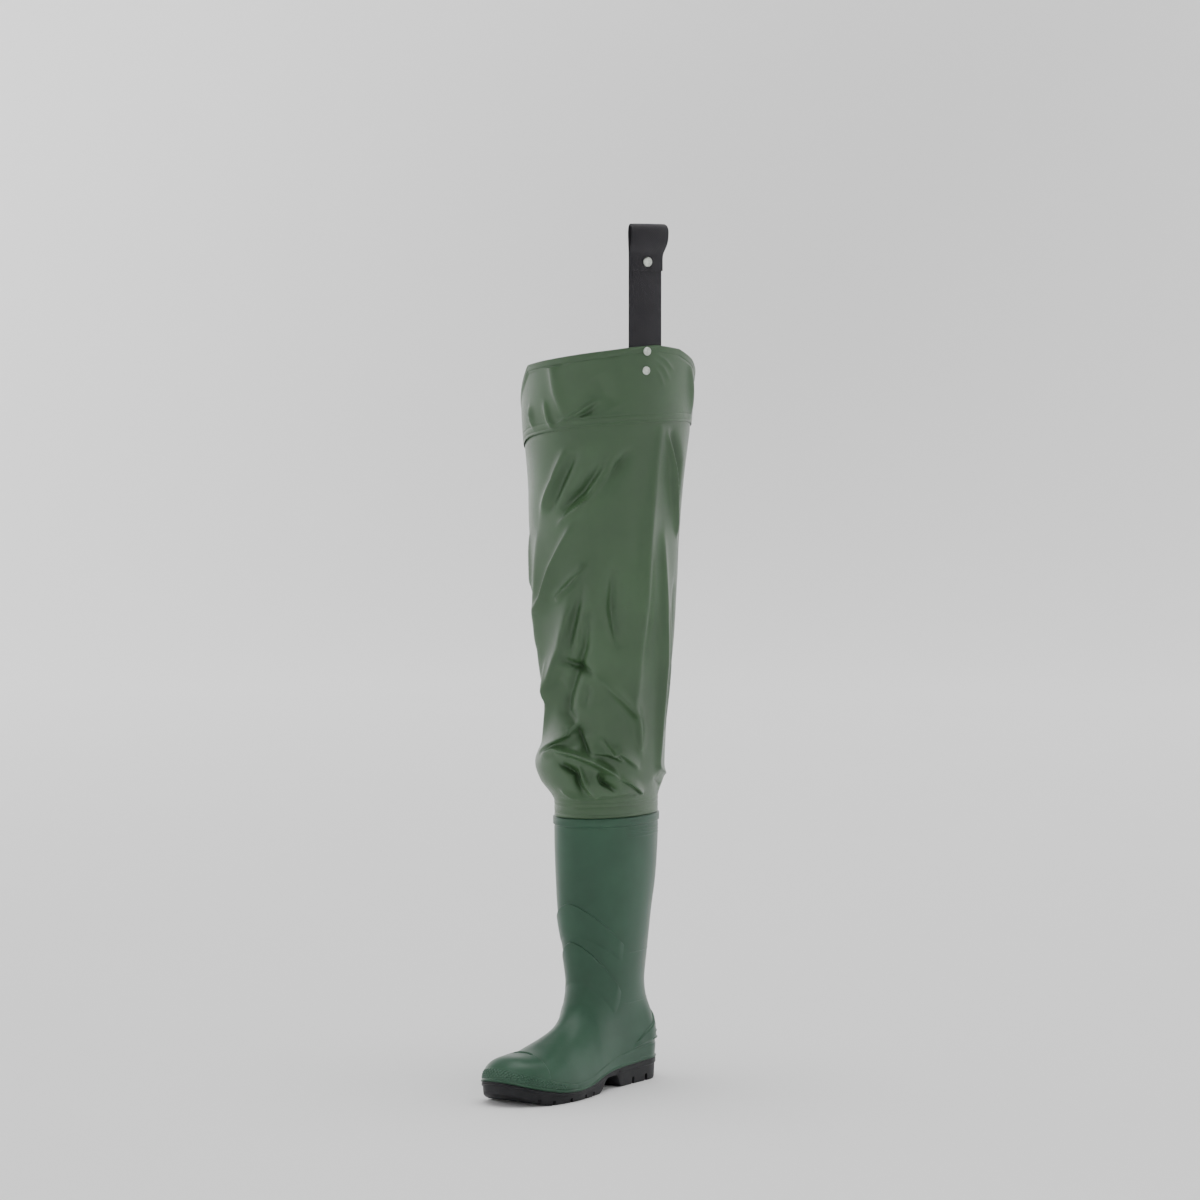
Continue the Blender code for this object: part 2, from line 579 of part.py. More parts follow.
def boot_reliefs():
    shields = (
        ("shin_shield_high", SHIELD_HIGH_TOP, SHIELD_HIGH_SIDE, SHIELD_HIGH_DEPTH, SHIELD_HIGH_SPREAD),
        ("shin_shield_low", SHIELD_LOW_TOP, SHIELD_LOW_SIDE, SHIELD_LOW_DEPTH, SHIELD_LOW_SPREAD),
    )
    made = [shin_shield(*row) for row in shields]
    columns = relief_columns(RING_HALF, TOE_CAP_SPREAD, 14)
    away = np.abs(columns - RING_HALF) / (TOE_CAP_SPREAD * RING_HALF)
    edges = TOE_CAP_EDGE * FOOT_LENGTH * (1 + 0.024 * away**2)
    low = np.full(len(columns), FOXING_ROW + 0.37)
    high = [max(row_at_reach(c, r), FOXING_ROW + 0.69) for c, r in zip(columns, edges)]
    made.append(relief("toe_cap", columns, low, high, TOE_CAP_STEP, 7))
    columns = relief_columns(0, COUNTER_SPREAD, 14)
    arch = 1 - (np.abs(columns) / (COUNTER_SPREAD * RING_HALF)) ** 1.4
    top = COUNTER_SIDE + (COUNTER_TOP - COUNTER_SIDE) * arch
    low = np.full(len(columns), FOXING_ROW + 0.43)
    high = [max(row_at_height(c, z), FOXING_ROW + 0.73) for c, z in zip(columns, top)]
    made.append(relief("heel_counter", columns, low, high, COUNTER_STEP, 7))
    for k in range(SPUR_RIB_COUNT):
        low = SPUR_LOWEST + k * SPUR_RIB_PITCH
        columns = relief_columns(0, SPUR_SPREAD * (1 - 0.086 * k), 8)
        low_rows = [row_at_height(c, low) for c in columns]
        high_rows = [row_at_height(c, low + SPUR_RIB_HEIGHT) for c in columns]
        made.append(relief(f"spur_rib_{k}", columns, low_rows, high_rows, SPUR_RIB_STEP, 2))
    return made


def sole_outline(out):
    """The sole's edge as fine lines of x against reach for both sides, moved out by a length."""
    ring = boot_ring(follow(0), 240)
    along = np.roll(ring, -1, axis=0) - np.roll(ring, 1, axis=0)
    normal = np.stack([-along[:, 1], along[:, 0]], axis=1)
    normal /= np.linalg.norm(normal, axis=1, keepdims=True)
    if np.mean(normal[60:180, 0]) < 0:
        normal = -normal
    edge = ring[:, :2] + normal * out
    reach = HEEL_MIDDLE - edge[:, 1]
    outer = slice(0, 241)
    inner = np.r_[0, np.arange(479, 239, -1)]
    return (reach[outer], edge[outer, 0]), (reach[inner], edge[inner, 0])


def sole_section(reaches, out):
    """x of the sole's edge at the given reaches on both sides, pulled in to stay within the edge."""
    (outer_reach, outer_x), (inner_reach, inner_x) = sole_outline(out)
    first, last = outer_reach.min(), outer_reach.max()
    scaled = first + (last - first) * reaches
    order_outer, order_inner = np.argsort(outer_reach), np.argsort(inner_reach)
    outer = np.interp(scaled, outer_reach[order_outer], outer_x[order_outer])
    inner = np.interp(scaled, inner_reach[order_inner], inner_x[order_inner])
    return scaled, outer, inner


def tread(reach):
    """Height of the sole's underside along the foot."""
    share = reach / FOOT_LENGTH
    heel_back = HEEL_BACK_RISE * (1 - smoothstep(0.0, 0.035, share))
    arch = ARCH_HEIGHT * smoothstep(0.318, 0.36, share) * (1 - smoothstep(0.43, 0.515, share))
    toe = TOE_SPRING * np.clip((share - 0.85) / 0.15, 0, 1) ** 1.5
    return heel_back + arch + toe


def build_outsole():
    turn = np.linspace(0, math.pi, 37)
    stations = (1 - np.cos(turn)) / 2
    extra = [0.33, 0.35, 0.37, 0.41, 0.44, 0.47, 0.50, 0.525]
    stations = np.array(sorted(set(list(stations[(stations < 0.31) | (stations > 0.53)]) + extra)))
    loops = []
    for share, out in SOLE_LEVELS:
        reach, outer, inner = sole_section(stations, out * SOLE_FLANGE)
        top, low = feather(sole_section(stations, 0)[0]) - SOLE_TOP_ALLOWANCE, tread(reach)
        height = top - (top - low) * share
        ends = [np.stack([outer, HEEL_MIDDLE - reach, height], axis=1)]
        ends.append(np.stack([inner, HEEL_MIDDLE - reach, height], axis=1)[-2:0:-1])
        loops.append(np.concatenate(ends))
    count, last = len(loops[0]), len(stations) - 1
    points = np.concatenate(loops)
    faces = []
    for k in range(len(loops) - 1):
        a, b = k * count, (k + 1) * count
        faces += [(a + i, a + (i + 1) % count, b + (i + 1) % count, b + i) for i in range(count)]
    for base in (0, (len(loops) - 1) * count):
        for i in range(last):
            left, left_next = base + i, base + i + 1
            right, right_next = base + (count - i) % count, base + (count - i - 1) % count
            cell = [left, left_next] + [k for k in (right_next, right) if k not in (left, left_next)]
            faces.append(tuple(cell))
    made = new_object("outsole", mesh_from("outsole", points, faces), BLACK_PVC)
    slots = [(place, LUG_GROOVE, LUG_DEPTH, GROOVE_CHEVRON) for place in FOREFOOT_GROOVES]
    slots += [(place, HEEL_GROOVE, HEEL_LUG_DEPTH, 0) for place in HEEL_GROOVES]
    for k, (place, width, depth, chevron) in enumerate(slots):
        combine(made, groove(f"groove_{k}", place * FOOT_LENGTH, width, depth, chevron), "DIFFERENCE")
    return made


def groove(name, reach, width, depth, chevron):
    """A slot across the tread, its middle set towards the toe by the chevron's length."""
    top = float(tread(reach)) + depth
    half = 0.62 * BALL_WIDTH
    outline = [(-half, 0), (0, chevron), (half, 0), (half, -width), (0, chevron - width), (-half, -width)]
    places = [(x, HEEL_MIDDLE - reach - y) for x, y in outline]
    points = [(x, y, -10 * MM) for x, y in places] + [(x, y, top) for x, y in places]
    faces = [(0, 1, 4, 5), (1, 2, 3, 4), (11, 10, 7, 6), (10, 9, 8, 7)]
    faces += [(i, (i + 1) % 6, (i + 1) % 6 + 6, i + 6) for i in range(6)]
    return cutter(name, mesh_from(name, points, faces))


def build_insole():
    low = INSOLE_LIFT
    loops = []
    for height in (low, low + INSOLE_THICKNESS):
        ring = boot_ring(follow(height))
        normals = outward([ring, ring + np.array([0, 0, 0.001])])[0]
        loops.append(ring - normals * (BOOT_WALL + CLEARANCE + INSOLE_SIDE_GAP))
    count = len(loops[0])
    points = np.concatenate(loops)
    faces = [(i, (i + 1) % count, count + (i + 1) % count, count + i) for i in range(count)]
    for base in (0, count):
        for i in range(RING_HALF):
            right, right_next = (count - i) % count, count - i - 1
            cell = [base + i, base + i + 1]
            cell += [base + k for k in (right_next, right) if base + k not in cell]
            faces.append(tuple(cell))
    return new_object("insole", mesh_from("insole", points, faces), INSOLE_FELT)


leg_half_width = spline(LEG_RISE, LEG_HALF_WIDTH)
leg_half_depth = spline(LEG_RISE, LEG_HALF_DEPTH)
leg_shift_out = spline(LEG_RISE, LEG_SHIFT_OUT)
leg_shift_toe = spline(LEG_RISE, LEG_SHIFT_TOE)


def round_angle(angle):
    """Degrees from the outer side brought into -180 to 180, negative towards the front."""
    return (np.asarray(angle, float) + 180) % 360 - 180


def rim_height(angle):
    return RIM_HEIGHT - PANEL_AT_STRAP * np.interp(round_angle(angle), RIM_ANGLE, RIM_DROP)


def seam_height(angle):
    return SEAM_HEIGHT - PANEL_AT_STRAP * np.interp(round_angle(angle), RIM_ANGLE, SEAM_DROP)


def seam_lap(angle):
    """How far the leg runs up inside the panel: less where the panel is low."""
    return np.minimum(SEAM_LAP, 0.45 * (rim_height(angle) - seam_height(angle)))


def neck_ring_size():
    """Middle reach, half depth and half width of the boot's top edge, outside."""
    front, back = float(front_reach(BOOT_HEIGHT)), float(back_reach(BOOT_HEIGHT))
    half = 0.5 * COLLAR_WIDTH * float(shaft_spread(1.0))
    return 0.5 * (front + back), 0.5 * (front - back) - NECK_INSET, half - NECK_INSET


def leg_point(height, turn, side):
    """A point of the leg's inner surface: a height, a turn from the back (0) to the front (pi), a side."""
    rise = (height - LEG_BOTTOM) / (SEAM_HEIGHT - LEG_BOTTOM)
    middle, depth, width = neck_ring_size()
    blend = smoothstep(BOOT_HEIGHT + NECK_BLEND_START, BOOT_HEIGHT + NECK_BLEND_END, height)
    depth = (1 - blend) * (depth + CLEARANCE) + blend * 0.5 * THIGH_DEPTH * leg_half_depth(rise)
    width = (1 - blend) * (width + CLEARANCE) + blend * 0.5 * THIGH_WIDTH * leg_half_width(rise)
    centre = (1 - blend) * (HEEL_MIDDLE - middle) - blend * 0.5 * THIGH_WIDTH * leg_shift_toe(rise)
    shift = blend * 0.5 * THIGH_WIDTH * leg_shift_out(rise)
    y = np.cos(turn) * depth
    x = side * width * (1 - np.abs(np.cos(turn)) ** 2.1) ** (1 / 2.1)
    swell_way = np.array([math.cos(math.radians(FOLD_ANGLE)), math.sin(math.radians(FOLD_ANGLE))])
    away = np.stack([x, y], axis=-1) / np.hypot(x, y)[..., None]
    facing = np.maximum(away @ swell_way, 0) ** 2
    swell = FOLD_SWELL * facing * np.exp(-(((height - FOLD_HEIGHT) / FOLD_SPREAD) ** 2)) * blend
    x = x + shift + away[..., 0] * swell
    y = y + centre + away[..., 1] * swell
    return np.stack([x, y, height + 0 * x], axis=-1)


TURNS = np.concatenate([np.linspace(0, math.pi, RING_HALF + 1), np.linspace(math.pi, 0, RING_HALF + 1)[1:-1]])
SIDES = np.array([1.0] * (RING_HALF + 1) + [-1.0] * (RING_HALF - 1))


def leg_ring(heights):
    return leg_point(heights, TURNS, SIDES)


def column_angles():
    """Angle of each column round the thigh, in degrees from the outer side."""
    ring = leg_ring(np.full(len(TURNS), SEAM_HEIGHT))
    middle = 0.5 * (ring.max(axis=0) + ring.min(axis=0))
    return np.degrees(np.arctan2(ring[:, 1] - middle[1], ring[:, 0] - middle[0]))


COLUMN_ANGLES = column_angles()


def build_leg():
    band_top = LEG_BOTTOM + JOINT_BAND_HEIGHT
    level = [LEG_BOTTOM, band_top - EDGE_SLOPE, band_top]
    steps = [JOINT_BAND_STEP, JOINT_BAND_STEP, 0]
    heights = [np.full(len(TURNS), z) for z in level]
    for share in LEG_ROWS:
        heights.append(np.full(len(TURNS), LEG_BOTTOM + share * (SEAM_HEIGHT - LEG_BOTTOM)))
        steps.append(0)
    seam = seam_height(COLUMN_ANGLES)
    highest = heights[-1]
    for share in (0.5, 1.0):
        heights.append(highest * (1 - share) + (seam + EDGE_SLOPE) * share)
        steps.append(0)
    heights.append(seam + seam_lap(COLUMN_ANGLES))
    steps.append(0)
    base = np.array([leg_ring(z) for z in heights])
    normals = outward(base)
    out = LEG_WALL + np.array(steps)[:, None, None]
    return new_object("leg", shell_mesh("leg", base + normals * out, base), OLIVE_FABRIC)


def panel_rows():
    """Heights of the thigh panel's rows by column and its hem's step."""
    seam, rim = seam_height(COLUMN_ANGLES), rim_height(COLUMN_ANGLES)
    lap = seam_lap(COLUMN_ANGLES)
    hem = rim - np.minimum(HEM_HEIGHT, 0.3 * (rim - seam))
    middle = 0.5 * (seam + lap + hem)
    rows = [(seam + EDGE_SLOPE, 0), (seam + lap, 0), (middle, 0), (hem, 0)]
    return rows + [(hem + EDGE_SLOPE, RIM_BEAD), (rim, RIM_BEAD)]


def panel_surface():
    rows = panel_rows()
    base = np.array([leg_ring(z) for z, _ in rows])
    normals = outward(base)
    inner = base + normals * (LEG_WALL + CLEARANCE)
    steps = np.array([step for _, step in rows])[:, None, None]
    return base, normals, inner, inner + normals * (LEG_WALL + steps)


def build_thigh_panel():
    _, _, inner, outer = panel_surface()
    return new_object("thigh_panel", shell_mesh("thigh_panel", outer, inner), OLIVE_FABRIC)


def wall_frame(height, across=0.0):
    """A point of the panel's inner face at the strap, moved round by a length, with its level normal."""
    angles = math.radians(STRAP_ANGLE)
    radius = 0.5 * THIGH_WIDTH
    fine = leg_point(np.full(361, height), np.linspace(0, math.pi, 361), np.ones(361))
    middle = leg_ring(np.full(len(TURNS), height))
    middle = 0.5 * (middle.max(axis=0) + middle.min(axis=0))
    found = np.arctan2(fine[:, 1] - middle[1], fine[:, 0] - middle[0])
    target = angles + across / radius
    order = np.argsort(found)
    point = np.array([np.interp(target, found[order], fine[order, k]) for k in range(3)])
    near = np.array([np.interp(target + 0.02, found[order], fine[order, k]) for k in range(3)])
    along = near - point
    normal = np.array([along[1], -along[0], 0])
    normal /= np.linalg.norm(normal)
    return point + normal * (LEG_WALL + CLEARANCE), normal


def strap_path():
    """(distance out, height) along the strap's middle, from its tail round the loop to the flap's end."""
    low = RIM_HEIGHT - STRAP_TAIL
    top = RIM_HEIGHT + STRAP_RISE - 0.5 * STRAP_THICKNESS
    flap = STRAP_THICKNESS + LAYER_GAP
    start = top - LOOP_HEIGHT
    gap = LOOP_GAP + STRAP_THICKNESS
    radius = 0.5 * gap
    upper, lower = rivet_heights()
    path = [(0, z) for z in (low, lower, upper, RIM_HEIGHT, 0.5 * (RIM_HEIGHT + start), start)]
    path += [(-0.04 * gap, start + 0.18 * LOOP_HEIGHT), (-0.13 * gap, start + 0.42 * LOOP_HEIGHT)]
    middle = 0.5 * gap - 0.18 * gap
    for turn in np.linspace(180, 0, 11):
        turn = math.radians(turn)
        path.append((middle + radius * math.cos(turn), top - radius + radius * math.sin(turn)))
    path += [(middle + 0.86 * radius, start + 0.44 * LOOP_HEIGHT), (0.47 * gap, start + 0.21 * LOOP_HEIGHT)]
    path += [(0.5 * flap + 0.13 * gap, start + 0.065 * LOOP_HEIGHT), (flap, start)]
    path.append((flap, start - 0.5 * FLAP_LENGTH))
    path.append((flap, start - FLAP_LENGTH))
    return np.array(path)


def build_belt_strap():
    path = strap_path()
    tangent = np.gradient(path, axis=0)
    tangent /= np.linalg.norm(tangent, axis=1, keepdims=True)
    sideways = np.stack([tangent[:, 1], -tangent[:, 0]], axis=1)
    inward = 0.5 * STRAP_THICKNESS + STRAP_CLEARANCE
    columns = np.linspace(-0.5 * STRAP_WIDTH, 0.5 * STRAP_WIDTH, 7)
    faces = {1: [], -1: []}
    for (out, height), (side_out, side_up) in zip(path, sideways):
        for sign in (1, -1):
            row = []
            for across in columns:
                point, normal = wall_frame(min(height, RIM_HEIGHT), across)
                offset = out - inward + sign * 0.5 * STRAP_THICKNESS * side_out
                place = point + normal * offset
                place[2] = height + sign * 0.5 * STRAP_THICKNESS * side_up
                row.append(place)
            faces[sign].append(row)
    made = new_object("belt_strap", patch_mesh("belt_strap", faces[1], faces[-1]), CHARCOAL_STRAP)
    for k, height in enumerate((snap_height(), *rivet_heights())):
        combine(made, hole(f"strap_hole_{k}", height), "DIFFERENCE")
    return made


def snap_height():
    return float(strap_path()[-1, 1]) + FLAP_BELOW_SNAP


def rivet_heights():
    upper = RIM_HEIGHT - UPPER_RIVET_BELOW_RIM
    return upper, upper - RIVET_SPACING


def revolved(profile, height, segments=16):
    """A turned solid on the strap's outward axis, from (radius, distance out of the panel's inner face)."""
    centre, normal = wall_frame(min(height, RIM_HEIGHT))
    up = np.array([0, 0, 1.0])
    side = np.cross(up, normal)
    centre = np.array([centre[0], centre[1], height])
    points, faces, previous = [], [], None
    for radius, out in profile:
        if radius == 0:
            points.append(centre + normal * out)
            loop = [len(points) - 1]
        else:
            loop = []
            for k in range(segments):
                turn = 2 * math.pi * k / segments
                points.append(centre + normal * out + radius * (math.cos(turn) * side + math.sin(turn) * up))
                loop.append(len(points) - 1)
        if previous is not None:
            for k in range(segments):
                cell = [previous[k % len(previous)], previous[(k + 1) % len(previous)]]
                cell += [loop[(k + 1) % len(loop)], loop[k % len(loop)]]
                faces.append(tuple(dict.fromkeys(cell)))
        previous = loop
    return points, faces


def hole(name, height):
    radius = RIVET_POST_RADIUS + CLEARANCE
    points, faces = revolved([(0, -9 * MM), (radius, -9 * MM), (radius, 9 * MM), (0, 9 * MM)], height, 16)
    return cutter(name, mesh_from(name, points, faces))


def build_fastener(name, height, cap_radius, cap_rise, outside, dimple):
    """Cap, post and washer in one; outside is how far out of the panel's inner face the cap's layer lies."""
    inside = -(STRAP_CLEARANCE + STRAP_THICKNESS)
    under = outside + CLEARANCE
    top = under + cap_rise
    profile = [(0, top - dimple), (0.42 * cap_radius, top - dimple), (0.55 * cap_radius, top)]
    profile += [(0.82 * cap_radius, top - 0.15 * cap_rise)]
    profile += [(cap_radius, top - 0.6 * cap_rise), (cap_radius, under), (RIVET_POST_RADIUS, under)]
    profile += [(RIVET_POST_RADIUS, inside - CLEARANCE), (0.85 * cap_radius, inside - CLEARANCE)]
    last = inside - CLEARANCE - WASHER_THICKNESS
    profile += [(0.85 * cap_radius, last), (0, last)]
    points, faces = revolved(profile, height)
    return new_object(name, mesh_from(name, points, faces), NICKEL)


def main():
    clear_scene()
    build_outsole()
    build_upper()
    build_insole()
    build_leg()
    panel = build_thigh_panel()
    build_belt_strap()
    upper_rivet, lower_rivet = rivet_heights()
    for name, height in (("panel_hole_upper", upper_rivet), ("panel_hole_lower", lower_rivet)):
        combine(panel, hole(name, height), "DIFFERENCE")
    flap = float(strap_path()[-1, 0])
    rim = LEG_WALL + RIM_BEAD
    rows = (
        ("loop_snap", snap_height(), SNAP_CAP_RADIUS, SNAP_CAP_HEIGHT, flap - STRAP_CLEARANCE, SNAP_DIMPLE),
        ("rivet_upper", upper_rivet, RIVET_CAP_RADIUS, RIVET_CAP_HEIGHT, rim, UPPER_RIVET_DIMPLE),
        ("rivet_lower", lower_rivet, RIVET_CAP_RADIUS, RIVET_CAP_HEIGHT, LEG_WALL, LOWER_RIVET_DIMPLE),
    )
    for row in rows:
        build_fastener(*row)


main()
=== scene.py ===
"""Left hip wader: moulded PVC boot, welded fabric leg with a thigh panel, and a snapped belt strap.

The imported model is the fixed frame. The high-resolution pieces follow the same surfaces as its solids:
a boot built on rings between its back and its ridge, and a leg of level rings. Creases, moulded
reliefs and materials are added here. Along the foot, "reach" is the distance from the back of the heel
towards the toe.
"""

import math

import bmesh
import bpy
import numpy as np
from bpy.props import FloatProperty, FloatVectorProperty, PointerProperty
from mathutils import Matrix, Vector


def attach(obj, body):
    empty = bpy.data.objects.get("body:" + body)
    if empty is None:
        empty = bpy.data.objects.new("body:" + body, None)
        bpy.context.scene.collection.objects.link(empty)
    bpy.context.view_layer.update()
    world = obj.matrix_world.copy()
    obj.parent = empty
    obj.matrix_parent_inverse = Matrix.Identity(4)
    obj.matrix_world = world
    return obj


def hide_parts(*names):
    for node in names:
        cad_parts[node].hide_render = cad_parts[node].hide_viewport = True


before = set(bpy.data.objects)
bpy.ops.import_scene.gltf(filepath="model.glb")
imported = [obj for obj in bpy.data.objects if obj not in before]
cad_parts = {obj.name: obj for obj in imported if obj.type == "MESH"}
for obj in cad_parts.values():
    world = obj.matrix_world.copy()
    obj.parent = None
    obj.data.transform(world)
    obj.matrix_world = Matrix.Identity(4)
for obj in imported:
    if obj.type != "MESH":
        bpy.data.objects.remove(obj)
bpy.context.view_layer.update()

bl_info = {
    "name": "Hip Wader",
    "version": (1, 0, 0),
    "blender": (4, 5, 0),
    "location": "3D View > Sidebar > Wader",
    "description": "Builds a left hip wader with its boot, fabric leg, belt strap and studio",
    "category": "Add Mesh",
}

MM = 0.001
DRAWN_SEAM = 842 * MM


def length(name, description, default):
    return FloatProperty(
        name=name, description=description, default=default, unit="LENGTH", subtype="DISTANCE"
    )


def colour(name, description, default):
    return FloatVectorProperty(
        name=name, description=description, default=default, subtype="COLOR", size=3, min=0, max=1
    )


class WaderSizes(bpy.types.PropertyGroup):
    """Sizes of the boot, the leg and the strap"""

    foot_length: length("Foot length", "Boot from the heel's back to the toe", 300 * MM)
    ball_width: length("Ball width", "Boot across the ball of the foot", 101 * MM)
    heel_width: length("Heel width", "Boot across the heel", 68 * MM)
    heel_middle: length("Heel middle", "Reach of the frame's origin", 56 * MM)
    heel_height: length("Heel height", "Top of the sole above the ground at the heel", 28 * MM)
    toe_spring: length("Toe spring", "Rise of the tread at the toe", 17 * MM)
    arch_height: length("Arch height", "Rise of the tread under the arch", 16.5 * MM)
    instep_height: length("Instep height", "Where the vamp turns into the shaft", 113 * MM)
    toe_top_height: length("Toe height", "Top of the toe above the ground", 61 * MM)
    boot_height: length("Boot height", "Top edge of the boot", 358 * MM)
    ankle_width: length("Ankle width", "Shaft across the ankle", 76 * MM)
    collar_width: length("Collar width", "Shaft across its top", 110 * MM)
    boot_wall: length("Boot wall", "Thickness of the moulded wall", 2.3 * MM)
    sole_flange: length("Sole flange", "How far the sole stands out of the boot", 2.2 * MM)
    sleeve_overlap: length("Sleeve overlap", "Boot's neck inside the fabric", 13 * MM)
    thigh_width: length("Thigh width", "Leg across at the thigh", 210 * MM)
    thigh_depth: length("Thigh depth", "Leg from front to back at the thigh", 216 * MM)
    seam_height: length("Seam height", "Thigh seam at the strap", DRAWN_SEAM)
    rim_height: length("Rim height", "Top edge at the strap", 939 * MM)
    fabric: length("Fabric", "Thickness of the coated fabric", 1.0 * MM)
    crease: length("Crease", "Depth of a full crease", 9.0 * MM)
    strap_width: length("Strap width", "Width of the belt strap", 45 * MM)
    strap_thickness: length("Strap thickness", "Thickness of the belt strap", 2.2 * MM)
    strap_rise: length("Strap rise", "Loop's top above the rim", 151 * MM)
    loop_height: length("Loop height", "Height of the belt's room", 38.5 * MM)
    loop_gap: length("Loop gap", "Depth of the belt's room", 15 * MM)


class WaderColours(bpy.types.PropertyGroup):
    """Colours of the wader's materials"""

    boot: colour("Boot", "Moulded green of the boot", (0.0285, 0.075, 0.0455))
    sole: colour("Sole", "Black of the sole", (0.006, 0.006, 0.008))
    fabric: colour("Fabric", "Coated green of the leg", (0.0355, 0.077, 0.0325))
    strap: colour("Strap", "Charcoal of the belt strap", (0.012, 0.011, 0.014))
    metal: colour("Metal", "Plating of the snap and rivets", (0.62, 0.66, 0.60))
    insole: colour("Insole", "Felt of the insole", (0.18, 0.18, 0.17))
    floor: colour("Floor", "Pale studio floor", (0.86, 0.86, 0.86))


# Boot's form, in shares of the named sizes, as in the solids. Reach and height of the feather line, of the
# ridge over toe, vamp and shin, and of the back; plan half widths on the outer and inner side, and shift
FEATHER_REACH = (0.0, 0.13, 0.28, 0.37, 0.47, 0.55, 0.63, 0.72, 0.80, 0.88, 0.95, 1.0)
FEATHER_RISE = (1.0, 0.965, 0.91, 0.875, 0.77, 0.61, 0.49, 0.455, 0.52, 0.69, 0.90, 1.10)
RIDGE_TOE = ((1.03, 1.09), (0.96, 1.11), (0.92, 1.085), (0.86, 1.02))
RIDGE_VAMP = (
    (0.787, 0.559), (0.733, 0.602), (0.693, 0.642), (0.63, 0.712), (0.567, 0.805), (0.523, 0.92),
    (0.506, 1.0),
)
RIDGE_SHIN = (
    (0.487, 0.069), (0.485, 0.122), (0.493, 0.216), (0.51, 0.331), (0.523, 0.465), (0.528, 0.58),
    (0.532, 0.763), (0.533, 0.927), (0.533, 1.0),
)
BACK_HEEL = (
    (-0.008, 0.20), (-0.010, 0.24), (-0.017, 0.336), (-0.020, 0.46), (-0.017, 0.549), (-0.010, 0.637),
    (0.0, 0.708), (0.010, 0.805), (0.027, 0.920),
)
BACK_SHIN = (
    (0.040, 0.012), (0.049, 0.069), (0.047, 0.122), (0.040, 0.216), (0.032, 0.331), (0.020, 0.465),
    (0.003, 0.58), (-0.010, 0.763), (-0.013, 0.927), (-0.013, 1.0),
)
PLAN_REACH = (0.0, 0.10, 0.18, 0.28, 0.40, 0.50, 0.60, 0.68, 0.76, 0.84, 0.92, 1.0)
PLAN_OUTER = (0.70, 0.71, 0.72, 0.73, 0.76, 0.84, 0.94, 1.0, 1.01, 1.0, 0.98, 0.94)
PLAN_INNER = (0.70, 0.70, 0.68, 0.63, 0.60, 0.68, 0.84, 0.95, 1.0, 1.01, 1.0, 0.98)
PLAN_SHIFT = (0.0, 0.0, 0.0, 0.0, 0.01, 0.02, 0.02, 0.01, -0.01, -0.04, -0.10, -0.18)
# Rounding of the toe and the heel: its length as a share of the foot's, and how blunt it is
TOE_ROUND = 0.36
TOE_BLUNTNESS = 3.2
HEEL_ROUND = 0.125
HEEL_BLUNTNESS = 2.3
# Shaft: share of its height above the instep, and share of the way from the ankle's width to the collar's
SHAFT_RISE = (-0.30, -0.15, 0.0, 0.08, 0.18, 0.31, 0.45, 0.60, 0.75, 0.88, 1.0)
SHAFT_SPREAD = (0.0, -0.02, -0.02, 0.02, 0.16, 0.40, 0.62, 0.80, 0.92, 0.97, 1.0)

# Boot rings: height above the sole at the heel and at the toe, share of plane, back height, front
# reach, front height; heights as shares of the instep's, reach as a share of the foot's length
BOOT_RINGS = (
    (0.200, 0.115, 0.12, 0.400, 1.000, 0.420),
    (0.240, 0.145, 0.30, 0.450, 1.000, 0.450),
    (0.270, 0.175, 0.52, 0.490, 1.000, 0.475),
    (0.300, 0.200, 0.75, 0.520, 0.960, 0.500),
    (0.330, 0.220, 0.92, 0.545, 0.900, 0.510),
    (0.330, 0.220, 1.00, 0.575, 0.860, 0.513),
    (0.330, 0.220, 1.00, 0.605, 0.800, 0.543),
    (0.330, 0.220, 1.00, 0.645, 0.740, 0.588),
    (0.330, 0.220, 1.00, 0.690, 0.683, 0.649),
    (0.330, 0.220, 1.00, 0.740, 0.627, 0.712),
    (0.330, 0.220, 1.00, 0.800, 0.577, 0.788),
    (0.330, 0.220, 1.00, 0.870, 0.540, 0.872),
    (0.330, 0.220, 1.00, 0.950, 0.513, 0.965),
    (0.330, 0.220, 1.00, 1.045, 0.495, 1.084),
    (0.330, 0.220, 1.00, 1.165, 0.486, 1.221),
    (0.330, 0.220, 1.00, 1.320, 0.490, 1.389),
    (0.330, 0.220, 1.00, 1.510, 0.500, 1.575),
    (0.330, 0.220, 1.00, 1.760, 0.515, 1.814),
    (0.330, 0.220, 1.00, 2.080, 0.526, 2.124),
    (0.330, 0.220, 1.00, 2.450, 0.531, 2.470),
    (0.330, 0.220, 1.00, 2.750, 0.532, 2.755),
)

# Leg: share of the height from the boot to the thigh seam, half width and half depth as shares of the
# thigh's, shift of the middle to the outer side and to the toe as shares of the thigh's half width
LEG_RISE = (0.0, 0.05, 0.11, 0.20, 0.31, 0.42, 0.54, 0.66, 0.78, 0.89, 1.0, 1.14)
LEG_HALF_WIDTH = (0.54, 0.59, 0.635, 0.66, 0.70, 0.76, 0.815, 0.845, 0.875, 0.91, 0.97, 1.01)
LEG_HALF_DEPTH = (0.795, 0.825, 0.80, 0.785, 0.795, 0.84, 0.87, 0.89, 0.92, 0.95, 0.985, 1.01)
LEG_SHIFT_OUT = (0.0, -0.01, -0.02, -0.02, -0.01, -0.02, -0.04, -0.065, -0.08, -0.09, -0.10, -0.10)
LEG_SHIFT_TOE = (0.21, 0.23, 0.22, 0.19, 0.18, 0.18, 0.17, 0.15, 0.12, 0.09, 0.06, 0.04)
